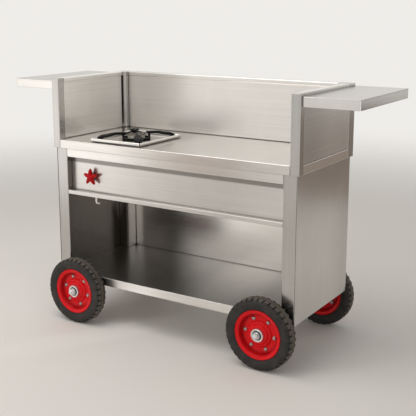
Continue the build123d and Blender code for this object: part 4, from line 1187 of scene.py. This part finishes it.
def lay_floor(stage):
    """A plain pale floor that fades into the background far from the counter."""
    paint = new_paint("floor_pale")
    place = paint.place()
    cloud = paint.noise(place, (0.9, 0.9, 0.9), 4.0)
    worn = scaled(stage.floor, 0.95)
    base = paint.node("ShaderNodeBsdfPrincipled", {}, {
        "Base Color": paint.blend(cloud, stage.floor, worn),
        "Roughness": 0.62 + cloud * 0.12,
        "Specular IOR Level": 0.25,
    })
    clear = paint.node("ShaderNodeBsdfTransparent", {}, {})
    x, y = paint.parts(place)[:2]
    far = paint.step(paint.maths("SQRT", x * x + y * y), 2.2, 6.5)
    mixed = paint.node("ShaderNodeMixShader", {}, {0: far, 1: base, 2: clear})
    paint.tree.links.new(mixed.socket, paint.output.inputs["Surface"])
    shape = Shape()
    rings = (0.0, 1.5, 3.0, 4.5, 6.0, 8.0, 10.0)
    shape.turned(Matrix.Identity(4), [(radius, 0.0) for radius in rings], 96, False)
    shape.made("floor", paint.holder)


def facing(spot, aim):
    """The turn of a lamp or a card at one point that looks at another."""
    return (Vector(aim) - Vector(spot)).to_track_quat("-Z", "Y")


def soft_lamp(name, spot, aim, wide, tall, brightness):
    """A flat lamp that the camera doesn't see."""
    lamp = bpy.data.lights.new(name, "AREA")
    lamp.shape = "RECTANGLE"
    lamp.size = wide
    lamp.size_y = tall
    lamp.energy = brightness * wide * tall * math.pi
    lamp.color = LAMP_WHITE
    made = bpy.data.objects.new(name, lamp)
    made.location = spot
    made.rotation_euler = facing(spot, aim).to_euler()
    made.visible_camera = False
    bpy.context.scene.collection.objects.link(made)
    return made


def card_finish(name, tint):
    """A plain glow that no lamp changes."""
    paint = new_paint(name)
    glow = paint.node("ShaderNodeEmission", {}, {"Color": tint, "Strength": 1.0})
    paint.tree.links.new(glow.socket, paint.output.inputs["Surface"])
    return paint.holder


def hang_card(name, spot, aim, wide, tall, finish):
    """A card that stands beside the counter."""
    place = Matrix.Translation(spot) @ facing(spot, aim).to_matrix().to_4x4()
    rows = []
    for across in (-0.5, 0.5):
        rows.append([place @ Vector((across * wide, up * tall, 0.0)) for up in (-0.5, 0.5)])
    show_in_steel(name, rows, finish)


def lay_mat(name, face, left, right, near, far, finish):
    """A mat that fans out over the floor, so that one face of the counter shows it as an upright band."""
    lift = 0.004
    forward = face - EYE[1]
    rows = []
    for x in (left, right):
        across = x - EYE[0]
        rows.append([Vector((x + across * part, face - forward * part, lift)) for part in (far, near)])
    show_in_steel(name, rows, finish)


def show_in_steel(name, rows, finish):
    """Puts up a card that shows in the steel, and neither shades it nor meets the camera."""
    shape = Shape()
    shape.grid(rows, False, False)
    card = shape.made(name, finish)
    card.visible_camera = False
    card.visible_diffuse = False
    card.visible_transmission = False
    card.visible_shadow = False


def light_the_room(stage):
    """Soft light all round with two lamps, a pale background, and dark and bright cards for the steel."""
    world = bpy.data.worlds.new("studio")
    bpy.context.scene.world = world
    paint = Paint(world, "ShaderNodeOutputWorld")
    seen = paint.node("ShaderNodeLightPath", {}, {}, "Is Camera Ray")
    for kind in ("Is Glossy Ray", "Is Transmission Ray"):
        seen = paint.maths("MAXIMUM", seen, paint.node("ShaderNodeLightPath", {}, {}, kind))
    soft = scaled(LAMP_WHITE, stage.room)
    shown = paint.blend(seen, soft, stage.around)
    back = paint.node("ShaderNodeBackground", {}, {"Color": shown, "Strength": 1.0})
    paint.tree.links.new(back.socket, paint.output.inputs["Surface"])
    soft_lamp("overhead", (-0.7, -0.9, 3.1), (0.0, 0.0, 0.4), 2.6, 2.0, stage.over)
    left = soft_lamp("left_lamp", (-2.9, -4.6, 2.05), (0.0, 0.0, 0.5), 1.7, 2.5, stage.left)
    left.visible_glossy = False
    deep = card_finish("card_deep", stage.card)
    mild = card_finish("card_mild", scaled(stage.card, 2.1))
    grey = card_finish("card_grey", scaled(stage.around, 0.55))
    bright = card_finish("card_bright", scaled(stage.around, 1.64))
    white = card_finish("card_white", scaled(stage.around, 1.30))
    hang_card("card_rear_right", (1.9, 2.5, 0.37), (0.62, 0.0, 0.37), 1.6, 0.74, deep)
    hang_card("card_left", (-2.5, -2.1, 0.55), (0.0, 0.0, 0.55), 1.5, 1.0, bright)
    hang_card("card_backdrop", (-2.0, -3.0, 1.18), (-2.0, 0.0, 1.18), 1.80, 1.64, grey)
    hang_card("card_band_left", (-1.96, -2.96, 1.18), (-1.96, 0.0, 1.18), 0.20, 1.64, white)
    hang_card("card_band_right", (-1.70, -2.96, 1.18), (-1.70, 0.0, 1.18), 0.32, 1.64, white)
    hang_card("card_low", (-1.80, -3.2, 0.175), (-1.80, 0.0, 0.175), 0.81, 0.35, mild)
    lay_mat("mat_left", FASCIA_FACE, -0.60, -0.20, 0.62, 1.30, white)
    lay_mat("mat_low", FASCIA_FACE, -0.08, 0.37, 0.62, 1.04, deep)
    lay_mat("mat_bright", BACK_FACE, -0.02, 0.13, 0.12, 0.60, white)


def aim_camera(stage):
    """Looks at the counter from the front, to the right and a little above."""
    level = math.cos(stage.rise)
    way = Vector((math.sin(stage.turn) * level, -math.cos(stage.turn) * level, math.sin(stage.rise)))
    lens = bpy.data.cameras.new("camera")
    lens.sensor_width = SENSOR_WIDTH
    lens.lens = FOCAL_PIXELS * SENSOR_WIDTH / PICTURE_PIXELS
    lens.shift_y = CAMERA_SHIFT
    camera = bpy.data.objects.new("camera", lens)
    camera.location = Vector(CAMERA_AIM) + way * stage.reach
    camera.rotation_euler = (-way).to_track_quat("-Z", "Y").to_euler()
    bpy.context.scene.collection.objects.link(camera)
    bpy.context.scene.camera = camera


class COUNTER_OT_stage(bpy.types.Operator):
    """Set up the floor, the light and the camera"""

    bl_idname = "counter.stage"
    bl_label = "Stage"

    def execute(self, context):
        stage = context.scene.counter_stage
        context.scene.view_settings.view_transform = "Standard"
        lay_floor(stage)
        light_the_room(stage)
        aim_camera(stage)
        return {"FINISHED"}


OPERATORS = (
    COUNTER_OT_steelwork,
    COUNTER_OT_wheels,
    COUNTER_OT_running_gear,
    COUNTER_OT_gas_ring,
    COUNTER_OT_gas_tap,
    COUNTER_OT_stage,
)
GROUPS = {
    "counter_wheels": CounterWheelSizes,
    "counter_gas": CounterGasSizes,
    "counter_finishes": CounterFinishes,
    "counter_stage": CounterStage,
}


class COUNTER_PT_sidebar(bpy.types.Panel):
    """Lists the steps that dress the counter"""

    bl_idname = "COUNTER_PT_sidebar"
    bl_label = "Mobile counter"
    bl_space_type = "VIEW_3D"
    bl_region_type = "UI"
    bl_category = "Counter"

    def draw(self, context):
        for operator in OPERATORS:
            self.layout.operator(operator.bl_idname)
        for name, group in GROUPS.items():
            box = self.layout.box()
            for prop in group.__annotations__:
                box.prop(getattr(context.scene, name), prop)


def register():
    for group in GROUPS.values():
        bpy.utils.register_class(group)
    for operator in OPERATORS:
        bpy.utils.register_class(operator)
    bpy.utils.register_class(COUNTER_PT_sidebar)
    for name, group in GROUPS.items():
        setattr(bpy.types.Scene, name, PointerProperty(type=group))


def unregister():
    for name in GROUPS:
        delattr(bpy.types.Scene, name)
    bpy.utils.unregister_class(COUNTER_PT_sidebar)
    for operator in reversed(OPERATORS):
        bpy.utils.unregister_class(operator)
    for group in reversed(GROUPS.values()):
        bpy.utils.unregister_class(group)


def main():
    register()
    for operator in OPERATORS:
        getattr(bpy.ops.counter, operator.bl_idname.split(".")[1])()
    bpy.context.view_layer.update()


if __name__ == "__main__":
    main()
